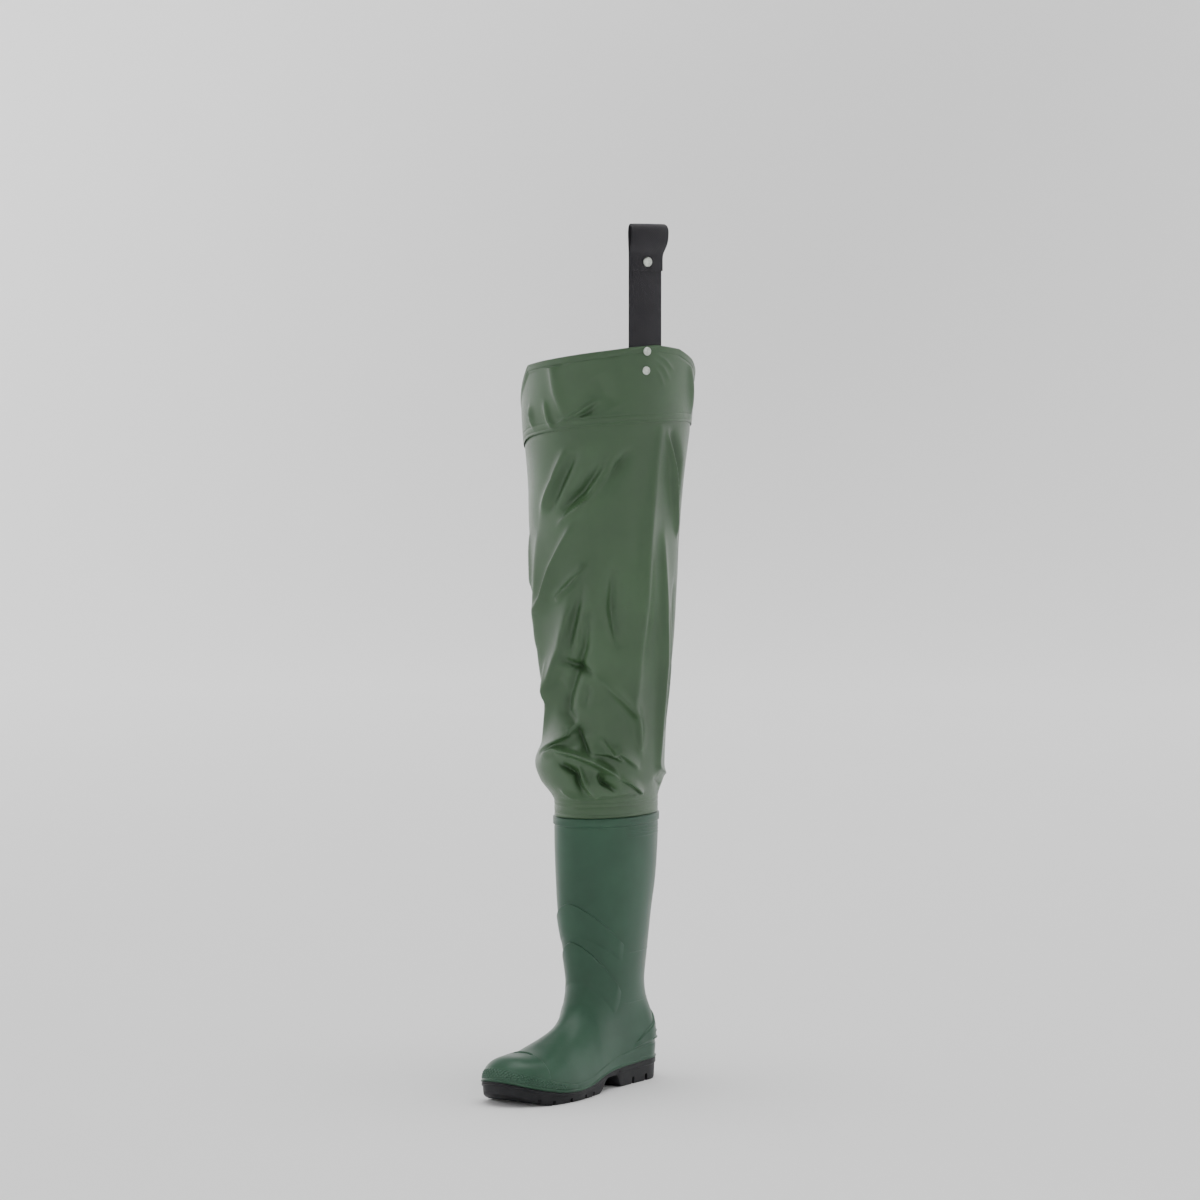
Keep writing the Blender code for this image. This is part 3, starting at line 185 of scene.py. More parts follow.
# Top edge and thigh seam: angle round the leg, and drop below their height at the strap as a share of the
# panel's height there
RIM_ANGLE = (-180, -160, -140, -118, -100, -70, -40, -22, 0, 20, 40, 65, 95, 125, 155, 180)
RIM_DROP = (1.24, 1.10, 0.72, 0.26, 0.20, 0.11, 0.03, 0.0, 0.05, 0.18, 0.38, 0.58, 0.74, 0.93, 1.15, 1.24)
SEAM_DROP = (0.48, 0.43, 0.31, 0.19, 0.13, 0.06, 0.01, 0.0, -0.01, 0.0, 0.04, 0.12, 0.20, 0.30, 0.42, 0.48)
# Angles of the swell over the boot and of the strap, in degrees from the outer side
FOLD_ANGLE = -142.0
STRAP_ANGLE = -29.0

# Creases of the cloth, drawn on a leg whose thigh seam lies at DRAWN_SEAM: rise as a share of a full
# crease, spread in mm, lean of its softer side, and the line it follows as (height in mm, angle round
# the leg from the outer side, negative in front)
LEG_CREASES = (
    (0.9, 8, 0.4, ((806, -84), (770, -93), (732, -107))),
    (-0.8, 6, 0, ((806, -76), (732, -99))),
    (-1, 7, -0.4, ((797, -54), (757, -71), (732, -88))),
    (-0.9, 7, 0.4, ((806, -38), (736, -70))),
    (0.9, 5, 0.5, ((785, -49), (747, -66), (716, -90))),
    (-1.1, 8, -0.4, ((831, -2), (791, 17), (741, 23))),
    (1, 6, 0.5, ((826, -6), (781, 4), (741, 11), (700, 22))),
    (0.95, 12, 0.3, ((842, -14), (671, -20), (544, -27), (470, -30))),
    (1.1, 7, 0.5, ((712, -80), (660, -97), (623, -107), (604, -118))),
    (0.9, 5, -0.5, ((664, -68), (640, -80), (619, -95))),
    (-0.9, 8, 0.3, ((640, -72), (590, -83), (540, -92))),
    (-1, 5, 0.5, ((545, -93), (536, -80), (529, -66))),
    (-0.5, 6, 0, ((513, -70), (485, -74))),
    (1.1, 10, 0.4, ((700, -2), (593, 1), (515, 6), (405, 20))),
    (0.5, 7, -0.4, ((610, 12), (540, 14), (450, 30))),
    (1.1, 9, -0.4, ((612, -84), (560, -92), (520, -104), (490, -116))),
    (-1, 8, 0.3, ((606, -66), (560, -73), (520, -84), (482, -96))),
    (1.05, 8, 0.5, ((524, -62), (476, -28), (430, -16))),
    (-1, 8, 0.4, ((606, 66), (575, 110), (560, 150))),
    (0.9, 7, -0.5, ((628, 72), (600, 112), (588, 152))),
    (0.8, 7, 0.5, ((582, 78), (552, 118), (530, 160))),
    (-0.8, 7, -0.3, ((548, 60), (520, 95), (500, 130))),
    (0.9, 7, 0.5, ((505, 188), (455, 160), (405, 130))),
    (-1, 6, -0.4, ((484, 192), (434, 168), (392, 140))),
    (-1.1, 11, 0.2, ((660, -48), (610, -50), (560, -44))),
    (0.9, 14, 0.3, ((700, -112), (600, -120), (500, -118))),
    (-0.9, 12, 0, ((520, -96), (480, -92), (446, -70))),
    (-0.7, 12, 0.3, ((640, 24), (560, 34), (480, 44))),
    (0.8, 9, 0.5, ((806, 56), (745, 88), (690, 130))),
    (-0.8, 8, -0.4, ((792, 72), (732, 105), (680, 140))),
    (0.7, 9, 0.4, ((764, 168), (702, 190), (640, 215))),
    (-0.7, 8, -0.4, ((748, 158), (692, 180), (635, 200))),
    (0.7, 8, 0.5, ((668, 58), (622, 76), (590, 105))),
    (-0.7, 7, -0.4, ((642, 52), (602, 68), (570, 92))),
    (0.5, 5, 0.5, ((700, -130), (650, -140), (600, -160))),
    (-0.5, 6, -0.4, ((560, -120), (500, -128), (450, -140))),
    (0.6, 6, 0.5, ((540, -108), (490, -112), (440, -128))),
)
# Creases piled up over the boot
FOLD_CREASES = (
    (0.9, 7, 0.5, ((426, -120), (453, -87), (468, -80))),
    (-0.85, 5.5, -0.4, ((464, -84), (440, -74), (424, -68))),
    (1.15, 6.5, -0.5, ((424, -112), (433, -98), (429, -80), (420, -64), (406, -48), (396, -42))),
    (0.7, 7, 0.4, ((430, -66), (430, -42), (408, -18))),
    (-1.1, 5.5, 0.4, ((415, -92), (404, -79), (380, -74))),
    (0.8, 4, -0.4, ((412, -76), (396, -72), (378, -66))),
    (0.9, 4, 0.4, ((398, -41), (388, -22), (376, -4))),
    (0.6, 4, 0, ((384, -92), (376, -80), (374, -62))),
    (-0.6, 3.5, 0, ((368, -100), (367, -72), (369, -47), (373, -17))),
    (-1.1, 5, 0.3, ((404, -60), (392, -56), (380, -44))),
    (0.7, 4, -0.3, ((446, -58), (430, -50), (418, -38))),
    (0.8, 7, -0.5, ((418, 74), (404, 98), (400, 130), (408, 165), (416, 200))),
    (-0.6, 6, 0.3, ((396, 62), (386, 92), (382, 130), (388, 170))),
    (0.35, 6, 0.4, ((408, 16), (400, 34), (392, 60))),
    (-0.45, 6, 0, ((392, 15), (380, 45))),
    (0.5, 5, 0.3, ((380, 70), (376, 110), (380, 150))),
)
BACK_SEAM = (
    (0.12, 2.5, 0, ((830, 178), (600, 180), (370, 180))),
)
PANEL_CREASES = (
    (0.55, 4, 0.4, ((862, -116), (836, -112))),
    (0.6, 4, -0.4, ((868, -100), (845, -96), (834, -92))),
    (-0.5, 3.5, 0.4, ((866, -60), (850, -72), (838, -86))),
    (0.55, 3.5, 0.4, ((870, -62), (852, -76), (840, -90))),
    (-0.5, 3.5, 0, ((846, -82), (826, -78))),
    (0.7, 9, 0.3, ((930, -95), (880, -90), (850, -84))),
    (0.6, 10, 0.3, ((915, 15), (850, 26))),
    (-0.55, 14, 0, ((900, -62), (862, -50))),
    (-0.25, 8, 0.3, ((880, 45), (820, 60))),
    (0.3, 8, 0.4, ((860, 90), (810, 110))),
    (-0.3, 6, 0.3, ((840, 150), (800, 170))),
    (0.3, 6, 0.4, ((850, 140), (790, 158))),
)
STRAP_CREASES = (
    (0.16, 2.2, 0.4, ((929, -24), (920, -14), (908, -6))),
    (0.13, 2.2, 0.4, ((921, -24), (910, -15), (896, -9))),
    (0.12, 2, -0.4, ((913, -24), (902, -18), (888, -14))),
)
# How much deeper and wider than drawn the creases are made
LEG_CREASE_FACTORS = (1.15, 0.95)
FOLD_CREASE_FACTORS = (1.25, 0.78)

# Lower edge of the boot and its bands: share of the foxing band's height and step out of the wall
EDGE_PROFILE = (
    (0.02, 2.3), (0.04, 2.7), (0.09, 2.8), (0.12, 2.4), (0.145, 1.2), (0.17, 0.8), (0.34, 0.8), (0.50, 0.8),
    (0.66, 0.8), (0.82, 0.8), (0.94, 0.8), (0.97, 0.62), (1.0, 0.2), (1.02, 0.0),
)
# Collar band: share of its height and step out of the wall
COLLAR_PROFILE = (
    (-0.30, 0.0), (-0.22, -0.5), (-0.12, -0.5), (-0.04, 0.1), (0.0, 0.9), (0.05, 1.4), (0.5, 1.5),
    (0.93, 1.4), (0.98, 0.9), (1.0, -2.6), (2.3, -2.6),
)
# Welded band at the foot of the fabric: share of its height and step out of the cloth
BAND_PROFILE = (
    (0.0, 0.35), (0.02, 0.7), (0.20, 0.75), (0.235, 0.35), (0.265, 0.35), (0.30, 0.75), (0.50, 0.85),
    (0.72, 0.75), (0.755, 0.35), (0.785, 0.35), (0.82, 0.75), (0.97, 0.7), (1.0, 0.45), (1.03, 0.0),
)
# Welded lower edge of the panel, as a share of the lap, and rolled top edge, as a share of the hem:
# place and step out of the cloth
PANEL_LIP = (
    (0.0, -0.25), (0.03, 0.05), (0.08, 0.1), (0.22, 0.1), (0.27, -0.3), (0.32, -0.3), (0.37, 0.08),
    (0.7, 0.05), (0.84, 0.0), (0.88, -0.28), (0.93, -0.28), (0.98, 0.0), (1.15, 0.0),
)
PANEL_HEM = (
    (0.0, 0.0), (0.05, -0.25), (0.10, -0.25), (0.15, 0.25), (0.22, 0.45), (0.40, 0.5), (0.55, 0.5),
    (0.66, 0.55), (0.76, 0.8), (0.88, 0.85), (0.96, 0.6), (1.0, 0.1),
)
FOXING_AT_HEEL = 18 * MM
FOXING_AT_TOE = 9.5 * MM
COLLAR_BAND_HEIGHT = 10 * MM
JOINT_BAND_HEIGHT = 19 * MM
NECK_INSET = 2.6 * MM
CLEARANCE = 0.3 * MM

# Toe bumper: share of half the ring that it takes to each side, its height past the foxing at the toe's
# tip and its drop at the ends, how far it stands out, and the pitch, depth and reach of its diamond grip
BUMPER_SHARE = 0.40
BUMPER_RISE = 7 * MM
BUMPER_DROP = 1.5 * MM
BUMPER_STEP = 2.2 * MM
GRIP_PITCH = 4.6 * MM
GRIP_DEPTH = 1.3 * MM
GRIP_FADES = (0.72, 0.80)

# Shields over the shin: top and side heights and depth as shares of the shaft, and share of half the ring
SHIELDS = ((0.51, 0.27, 0.19, 0.4315), (0.31, 0.02, 0.24, 0.4355))
SHIELD_STEP = 2.0 * MM
# Toe cap and counter: share of half the ring, heights as shares of the instep's or reach as a share of
# the foot's, step out of the wall, and half width and rise of the bead along the edge
TOE_CAP_SHARE = 0.2635
TOE_CAP_EDGE = 0.835
TOE_CAP_STEP = 2.5 * MM
TOE_CAP_BEAD = (1.8 * MM, 3.7 * MM)
COUNTER_SHARE = 0.3415
COUNTER_TOP = 0.85
COUNTER_SIDE = 0.41
COUNTER_STEP = 2.2 * MM
COUNTER_BEAD = (1.5 * MM, 2.8 * MM)
# Ribs at the back of the heel: how many, their pitch and the lowest one's height as shares of the instep's,
# its share of half the ring and how much less each next one takes, and half width and rise
SPUR_RIBS = 5
SPUR_PITCH = 0.071
SPUR_LOWEST = 0.461
SPUR_SHARE = 0.2106
SPUR_TAPER = 0.0181
SPUR_BEAD = (2.4 * MM, 4.2 * MM)
# Beads round the shaft: first and last column as shares of half the ring, height as a share of the
# shaft above the instep, half width and rise
BOOT_BEADS = (
    (0.12, 0.62, 0.842, 0.9, 0.5), (0.12, 0.62, 0.860, 0.9, 0.5), (0.12, 0.62, 0.878, 0.9, 0.5),
    (0.05, 0.56, 0.236, 0.8, 0.45), (0.05, 0.56, -0.03, 0.8, 0.4),
    (1.44, 1.95, 0.236, 0.8, 0.45), (1.44, 1.95, -0.03, 0.8, 0.4),
)

SOLE_COLUMNS = 240
# Side of the sole from its top to its tread: share of its height and how far it stands out
SOLE_LEVELS = (
    (0.0, 1.7), (0.03, 2.1), (0.07, 2.2), (0.22, 2.2), (0.26, 1.7), (0.29, 0.9), (0.5, 0.6), (0.8, 0.25),
    (0.95, -0.2), (1.0, -1.0),
)
# Grooves across the tread, as shares of the foot's length, with their width and depth
FOREFOOT_GROOVES = (0.575, 0.645, 0.748, 0.843, 0.905)
HEEL_GROOVES = (0.14, 0.238)
LUG_GROOVE = 4.0 * MM
LUG_DEPTH = 5.5 * MM
LUG_CHEVRON = 5.0 * MM
HEEL_GROOVE = 5.0 * MM
HEEL_LUG_DEPTH = 9.0 * MM
SOLE_TOP_ALLOWANCE = 0.25 * MM
SOLE_BEVEL = 0.4 * MM

# Cloth: how fine the meshes are, the lap and the hem, the swell over the boot, and how far the creases
# there hang over, as a share of their rise, with the heights over which that fades
CLOTH_COLUMNS = 300
LEG_ROWS = 270
PANEL_ROWS = 56
INNER_EVERY = 8
SEAM_LAP = 12 * MM
HEM_HEIGHT = 9 * MM
FOLD_SWELL = 13 * MM
FOLD_HEIGHT = 412 * MM
FOLD_SPREAD = 24 * MM
DROOP = 0.35
DROOP_FADES = (430 * MM, 500 * MM)

# Strap, rivets and snap
STRAP_CLEARANCE = 0.65 * MM
STRAP_TAIL = 44 * MM
FLAP_LENGTH = 19.5 * MM
FLAP_BELOW_SNAP = 11 * MM
RIVET_BELOW_RIM = 8 * MM
RIVET_SPACING = 24 * MM
# Caps of the fasteners: radius, rise and depth of the dimple
SNAP_CAP = (6.3 * MM, 2.2 * MM, 0.7 * MM)
UPPER_RIVET_CAP = (5.4 * MM, 1.6 * MM, 0.9 * MM)
LOWER_RIVET_CAP = (5.4 * MM, 1.6 * MM, 0.5 * MM)
POST_RADIUS = 2.0 * MM
# Outside of a cap: share of its radius, and height over its ring as a share of the dimple's depth, then
# of the cap's rise
CAP_DIMPLE = ((0.30, -1.0), (0.38, -0.9), (0.46, -0.35))
CAP_RING = (
    (0.52, 0.0), (0.60, 0.04), (0.68, -0.02), (0.72, -0.14), (0.76, -0.10), (0.84, -0.08), (0.92, -0.30),
    (0.975, -0.62), (1.0, -0.95),
)

# Cloth's threads to the metre and the depth of its weave
CLOTH_THREADS = 1500.0
CLOTH_BUMP = 0.22 * MM
# Dust on plastic and on cloth, and lint on the strap
PLASTIC_DUST = 0.32
CLOTH_DUST = 0.33
STRAP_LINT = (0.20, 0.19, 0.18, 1)

# Lights: place, width in degrees and power; the camera stands at the photograph's angle
STUDIO_LIGHTS = (
    ("key_light", (4.4, 0.5, 2.4), 14, 3.5),
    ("fill_light", (-2.4, -3.8, 2.3), 18, 1.9),
    ("top_light", (0.3, 0.4, 6.0), 45, 1.9),
)
LIGHTS_AIM = (0, 0, 0.5)
AIR_STRENGTH = 0.55
FLOOR_RADII = (0.4, 1.5, 3.0, 5.0, 6.5)
FLOOR_SWEEP = 2.5
CAMERA_AZIMUTH = 35.5
CAMERA_HEIGHT = 0.92
CAMERA_DISTANCE = 5.2
CAMERA_TARGET = (0.01, -0.05, 0.618)
CAMERA_FIELD = 1.511
SENSOR_WIDTH = 36


def spline(stations, values):
    """A natural cubic through the table's rows, straight beyond its ends."""
    x, y = np.array(stations, float), np.array(values, float)
    h, n = np.diff(x), len(x)
    system, right = np.eye(n), np.zeros(n)
    for i in range(1, n - 1):
        system[i, i - 1 : i + 2] = h[i - 1], 2 * (h[i - 1] + h[i]), h[i]
        right[i] = 3 * ((y[i + 1] - y[i]) / h[i] - (y[i] - y[i - 1]) / h[i - 1])
    c = np.linalg.solve(system, right)
    b = np.diff(y) / h - h * (2 * c[:-1] + c[1:]) / 3
    d = np.diff(c) / (3 * h)
    end_slope = b[-1] + h[-1] * (2 * c[-2] + 3 * d[-1] * h[-1])

    def value(at):
        at = np.asarray(at, float)
        inside = np.clip(at, x[0], x[-1])
        i = np.clip(np.searchsorted(x, inside, side="right") - 1, 0, n - 2)
        t = inside - x[i]
        found = y[i] + t * (b[i] + t * (c[i] + t * d[i]))
        return found + np.minimum(at - x[0], 0) * b[0] + np.maximum(at - x[-1], 0) * end_slope

    return value


def smoothstep(low, high, at):
    t = np.clip((np.asarray(at, float) - low) / (high - low), 0, 1)
    return t * t * (3 - 2 * t)


def rows_between(rows, count):
    """A table with smooth rows put between its own."""
    rows = np.array(rows, float)
    index = np.arange(len(rows))
    fine = np.linspace(0, len(rows) - 1, (len(rows) - 1) * count + 1)
    return np.stack([spline(index, rows[:, k])(fine) for k in range(rows.shape[1])], axis=1)


def outward(rings):
    """Unit normals of a grid of closed rings, from the lower edge to the upper one."""
    along = np.roll(rings, -1, axis=1) - np.roll(rings, 1, axis=1)
    up = np.gradient(rings, axis=0)
    normals = np.cross(up, along)
    normals[0, :, 2] = 0
    normals[-1, :, 2] = 0
    return normals / np.maximum(np.linalg.norm(normals, axis=2, keepdims=True), 1e-12)


class BootForm:
    """The plain outer surface of the boot, worked out from the wader's sizes."""

    def __init__(self, sizes):
        self.sizes = sizes
        foot, instep = sizes.foot_length, sizes.instep_height
        self.ridge = self.line(
            [(r * foot, h * sizes.toe_top_height) for r, h in RIDGE_TOE]
            + [(r * foot, h * instep) for r, h in RIDGE_VAMP]
            + [(r * foot, self.shaft_height(h)) for r, h in RIDGE_SHIN]
        )
        self.back = self.line(
            [(r * foot, h * instep) for r, h in BACK_HEEL]
            + [(r * foot, self.shaft_height(h)) for r, h in BACK_SHIN]
        )
        self.feather = spline(
            [r * foot for r in FEATHER_REACH], [h * sizes.heel_height for h in FEATHER_RISE]
        )
        self.plan_outer = spline(PLAN_REACH, PLAN_OUTER)
        self.plan_inner = spline(PLAN_REACH, PLAN_INNER)
        self.plan_shift = spline(PLAN_REACH, PLAN_SHIFT)
        self.spread = spline(SHAFT_RISE, SHAFT_SPREAD)

    def line(self, points):
        points = np.array(points)
        steps = np.arange(len(points))
        fine = np.linspace(0, len(points) - 1, 600)
        return spline(steps, points[:, 0])(fine), spline(steps, points[:, 1])(fine)

    def shaft_height(self, share):
        return self.sizes.instep_height + share * (self.sizes.boot_height - self.sizes.instep_height)

    def ridge_height(self, reach):
        vamp = self.ridge[1] < 1.2 * self.sizes.instep_height
        r, h = self.ridge[0][vamp][::-1], self.ridge[1][vamp][::-1]
        return np.interp(reach, r, h) + 3 * np.maximum(r[0] - reach, 0)

    def front_reach(self, height):
        rising = self.ridge[0] < RIDGE_VAMP[0][0] * self.sizes.foot_length
        return np.interp(height, self.ridge[1][rising], self.ridge[0][rising])

    def back_reach(self, height):
        return np.interp(height, self.back[1], self.back[0])

    def foot_part(self, reach, height, side):
        """Half width of the foot at a place in the side view, 0 outside it."""
        sizes = self.sizes
        share = reach / sizes.foot_length
        half = 0.5 * sizes.ball_width * np.where(side > 0, self.plan_outer(share), self.plan_inner(share))
        half = half + 0.5 * (sizes.heel_width - 0.7 * sizes.ball_width) * (1 - smoothstep(0.25, 0.5, share))
        base = self.feather(reach)
        up = np.clip((height - base) / (self.ridge_height(reach) - base), 0, 1)
        toe = np.clip((share - 1 + TOE_ROUND) / TOE_ROUND, 0, 1)
        heel = np.clip(1 - (reach - self.back_reach(height)) / (HEEL_ROUND * sizes.foot_length), 0, 1)
        arch = 1.8 + 0.6 * smoothstep(0.6, 0.85, share)
        left = 1 - toe**TOE_BLUNTNESS - heel**HEEL_BLUNTNESS - up**arch
        return half * np.maximum(left, 0) ** (1 / arch)

    def shaft_part(self, reach, height):
        """Half width of the shaft at a place in the side view, 0 outside it."""
        sizes = self.sizes
        rise = (height - sizes.instep_height) / (sizes.boot_height - sizes.instep_height)
        half = 0.5 * (sizes.ankle_width + (sizes.collar_width - sizes.ankle_width) * self.spread(rise))
        front, back = self.front_reach(height), self.back_reach(height)
        across = np.clip(np.abs((2 * reach - front - back) / (front - back)), 0, 1)
        return half * (1 - across**2.1) ** (1 / 2.1)

    def x_at(self, reach, height, side):
        """x of the surface on the outer side (+1) or the inner side (-1), and the half width there."""
        sizes = self.sizes
        blend = smoothstep(0.70 * sizes.instep_height, 1.02 * sizes.instep_height, height)
        half = (1 - blend) * self.foot_part(reach, height, side) + blend * self.shaft_part(reach, height)
        middle = (1 - blend) * 0.5 * sizes.ball_width * self.plan_shift(reach / sizes.foot_length)
        return middle + side * half, half

    def ring_height(self, ring, reach):
        heel_above, toe_above, plane, back, front, front_height = ring
        instep, foot = self.sizes.instep_height, self.sizes.foot_length
        plane = min(plane, 1)
        start, end = self.back_reach(back * instep), front * foot
        line = (back + (front_height - back) * (reach - start) / (end - start)) * instep
        above = heel_above + (toe_above - heel_above) * smoothstep(0.2, 0.55, reach / foot)
        return (1 - plane) * (self.feather(reach) + above * instep) + plane * line

    def ring(self, ring, half_count):
        """Points round the boot on one ring: outer side from heel to toe, then inner side back."""
        foot = self.sizes.foot_length
        scan = np.linspace(-0.06 * foot, 1.02 * foot, 1501)
        inside = scan[self.x_at(scan, self.ring_height(ring, scan), 1)[1] > 0]
        step = scan[1] - scan[0]
        ends = []
        for kept, lost in ((inside[0], inside[0] - step), (inside[-1], inside[-1] + step)):
            for _ in range(24):
                middle = np.array([0.5 * (kept + lost)])
                if self.x_at(middle, self.ring_height(ring, middle), 1)[1][0] > 0:
                    kept = middle[0]
                else:
                    lost = middle[0]
            ends.append(kept)
        turn = np.linspace(0, math.pi, half_count + 1)
        reach = ends[0] + (ends[1] - ends[0]) * (1 - np.cos(turn)) / 2
        height = self.ring_height(ring, reach)
        y = self.sizes.heel_middle - reach
        outer = np.stack([self.x_at(reach, height, 1)[0], y, height], axis=1)
        inner = np.stack([self.x_at(reach, height, -1)[0], y, height], axis=1)
        return np.concatenate([outer, inner[-2:0:-1]])

    def level_ring(self, height):
        share = height / self.sizes.instep_height
        return (0.3, 0.3, 1.0, share, float(self.front_reach(height)) / self.sizes.foot_length, share)

    def follow(self, at_heel, at_toe):
        """A ring that follows the sole's top at heights above it."""
        instep = self.sizes.instep_height
        return (at_heel / instep, at_toe / instep, 0.0, 0.36, 1.0, 0.40)


class BootWall:
    """The boot's surface as a fine grid, with places on it found by row and column."""

    def __init__(self, sizes, half_count, rows_per_ring):
        form = BootForm(sizes)
        self.form = form
        self.half_count = half_count
        band_top = sizes.boot_height - sizes.sleeve_overlap
        band_low = band_top - COLLAR_BAND_HEIGHT
        lower = [(form.follow(s * FOXING_AT_HEEL, s * FOXING_AT_TOE), step * MM) for s, step in EDGE_PROFILE]
        main = [form.follow(1.03 * FOXING_AT_HEEL, 1.03 * FOXING_AT_TOE), *BOOT_RINGS]
        main.append(form.level_ring(band_low - 0.35 * COLLAR_BAND_HEIGHT))
        upper = [
            (form.level_ring(band_low + s * COLLAR_BAND_HEIGHT), step * MM) for s, step in COLLAR_PROFILE
        ]
        rows = lower + [(tuple(r), 0.0) for r in rows_between(main, rows_per_ring)] + upper
        self.first = len(lower)
        self.last = len(rows) - len(upper)
        self.grid = np.array([form.ring(ring, half_count) for ring, _ in rows])
        self.normals = outward(self.grid)
        self.steps = np.array([step for _, step in rows])[:, None, None]

    def at(self, rows, columns):
        """Points of the surface and their normals at fractions of rows and columns."""
        rows = np.clip(np.asarray(rows, float), 0, len(self.grid) - 1.001)
        columns = np.asarray(columns, float)
        i, j = np.floor(rows).astype(int), np.floor(columns).astype(int)
        a, b = (rows - i)[..., None], (columns - j)[..., None]
        count = self.grid.shape[1]
        found = []
        for values in (self.grid, self.normals):
            low = values[i, j % count] * (1 - b) + values[i, (j + 1) % count] * b
            high = values[i + 1, j % count] * (1 - b) + values[i + 1, (j + 1) % count] * b
            found.append(low * (1 - a) + high * a)
        return found[0], found[1] / np.linalg.norm(found[1], axis=-1, keepdims=True)

    def rows_where(self, rows, columns, places, axis):
        """The rows, as fractions, where columns reach places along an axis."""
        return np.array([
            np.interp(place, self.at(rows, np.full(len(rows), column))[0][:, axis], rows)
            for column, place in zip(columns, places)
        ])

    def rows_at_height(self, columns, heights, first=None):
        rows = np.arange(self.first if first is None else first, self.last)
        return self.rows_where(rows, *np.broadcast_arrays(columns, heights), axis=2)

    def rows_at_reach(self, columns, reaches):
        rows = np.arange(self.first, self.first + (self.last - self.first) * 2 // 3)
        return self.rows_where(rows, columns, self.form.sizes.heel_middle - reaches, axis=1)


def build_object(name, points, faces, smooth_angle=None, uv=None):
    """A mesh object from points and faces; uv holds a pair of lengths for each point."""
    mesh = bpy.data.meshes.new(name)
    mesh.from_pydata([tuple(p) for p in points], [], faces)
    mesh.update()
    work = bmesh.new()
    work.from_mesh(mesh)
    bmesh.ops.recalc_face_normals(work, faces=work.faces)
    work.to_mesh(mesh)
    work.free()
    mesh.shade_smooth()
    if smooth_angle:
        mesh.set_sharp_from_angle(angle=math.radians(smooth_angle))
    if uv is not None:
        layer = mesh.uv_layers.new(name="cloth")
        corner_points = np.empty(len(mesh.loops), int)
        mesh.loops.foreach_get("vertex_index", corner_points)
        layer.data.foreach_set("uv", np.asarray(uv, float)[corner_points].ravel())
    made = bpy.data.objects.new(name, mesh)
    bpy.context.scene.collection.objects.link(made)
    return made


def ring_faces(row_count, column_count, first=0):
    """Faces between closed rings that follow each other in the list of points."""
    faces = []
    for k in range(row_count - 1):
        a, b = first + k * column_count, first + (k + 1) * column_count
        for i in range(column_count):
            j = (i + 1) % column_count
            faces.append((a + i, a + j, b + j, b + i))
    return faces


def sheet_faces(row_count, column_count, first=0):
    at = first + np.arange(row_count * column_count).reshape(row_count, column_count)
    cells = np.stack([at[:-1, :-1], at[:-1, 1:], at[1:, 1:], at[1:, :-1]], axis=-1)
    return [tuple(int(k) for k in cell) for cell in cells.reshape(-1, 4)]


def closed_wall(name, outer, inner, uv=None):
    """A closed wall between two grids of rings with the same columns; the inner one may have fewer rows."""
    loops = np.concatenate([outer, inner[::-1], outer[:1]])
    rows, columns = len(loops) - 1, loops.shape[1]
    faces = ring_faces(rows, columns)
    last = (rows - 1) * columns
    for i in range(columns):
        j = (i + 1) % columns
        faces.append((last + i, last + j, j, i))
    if uv is not None:
        uv = np.concatenate([uv, np.zeros((len(inner) * columns, 2))])
    return build_object(name, loops[:-1].reshape(-1, 3), faces, uv=uv)


def relief_sheet(wall, columns, low_rows, high_rows, step, fade, row_count=22):
    """A moulded step on the boot between two lines of rows; fade is the share lost towards the lower."""
    share = np.concatenate([np.linspace(0, 0.93, row_count), 1 - np.linspace(0, 0.065, 12) ** 1.15])
    share = np.unique(share)
    rows = low_rows[None, :] + (high_rows - low_rows)[None, :] * share[:, None]
    points, normals = wall.at(rows, np.broadcast_to(columns, rows.shape))
    length = np.linalg.norm(points[-1] - points[0], axis=-1)[None, :]
    side = np.minimum(np.arange(len(columns)), np.arange(len(columns))[::-1]) / (0.5 * len(columns))
    top_edge = smoothstep(0, 1.0 * MM, (1 - share)[:, None] * length)
    low_edge = smoothstep(0, 0.25, share[:, None] + 0 * length)
    side_edge = smoothstep(0, 0.16, side)[None, :]
    body = step * (1 - fade * (1 - share[:, None])) * low_edge * side_edge
    height = body * top_edge - 0.25 * MM * (1 - np.minimum(np.minimum(top_edge, low_edge), side_edge))
    return points + normals * height[..., None]


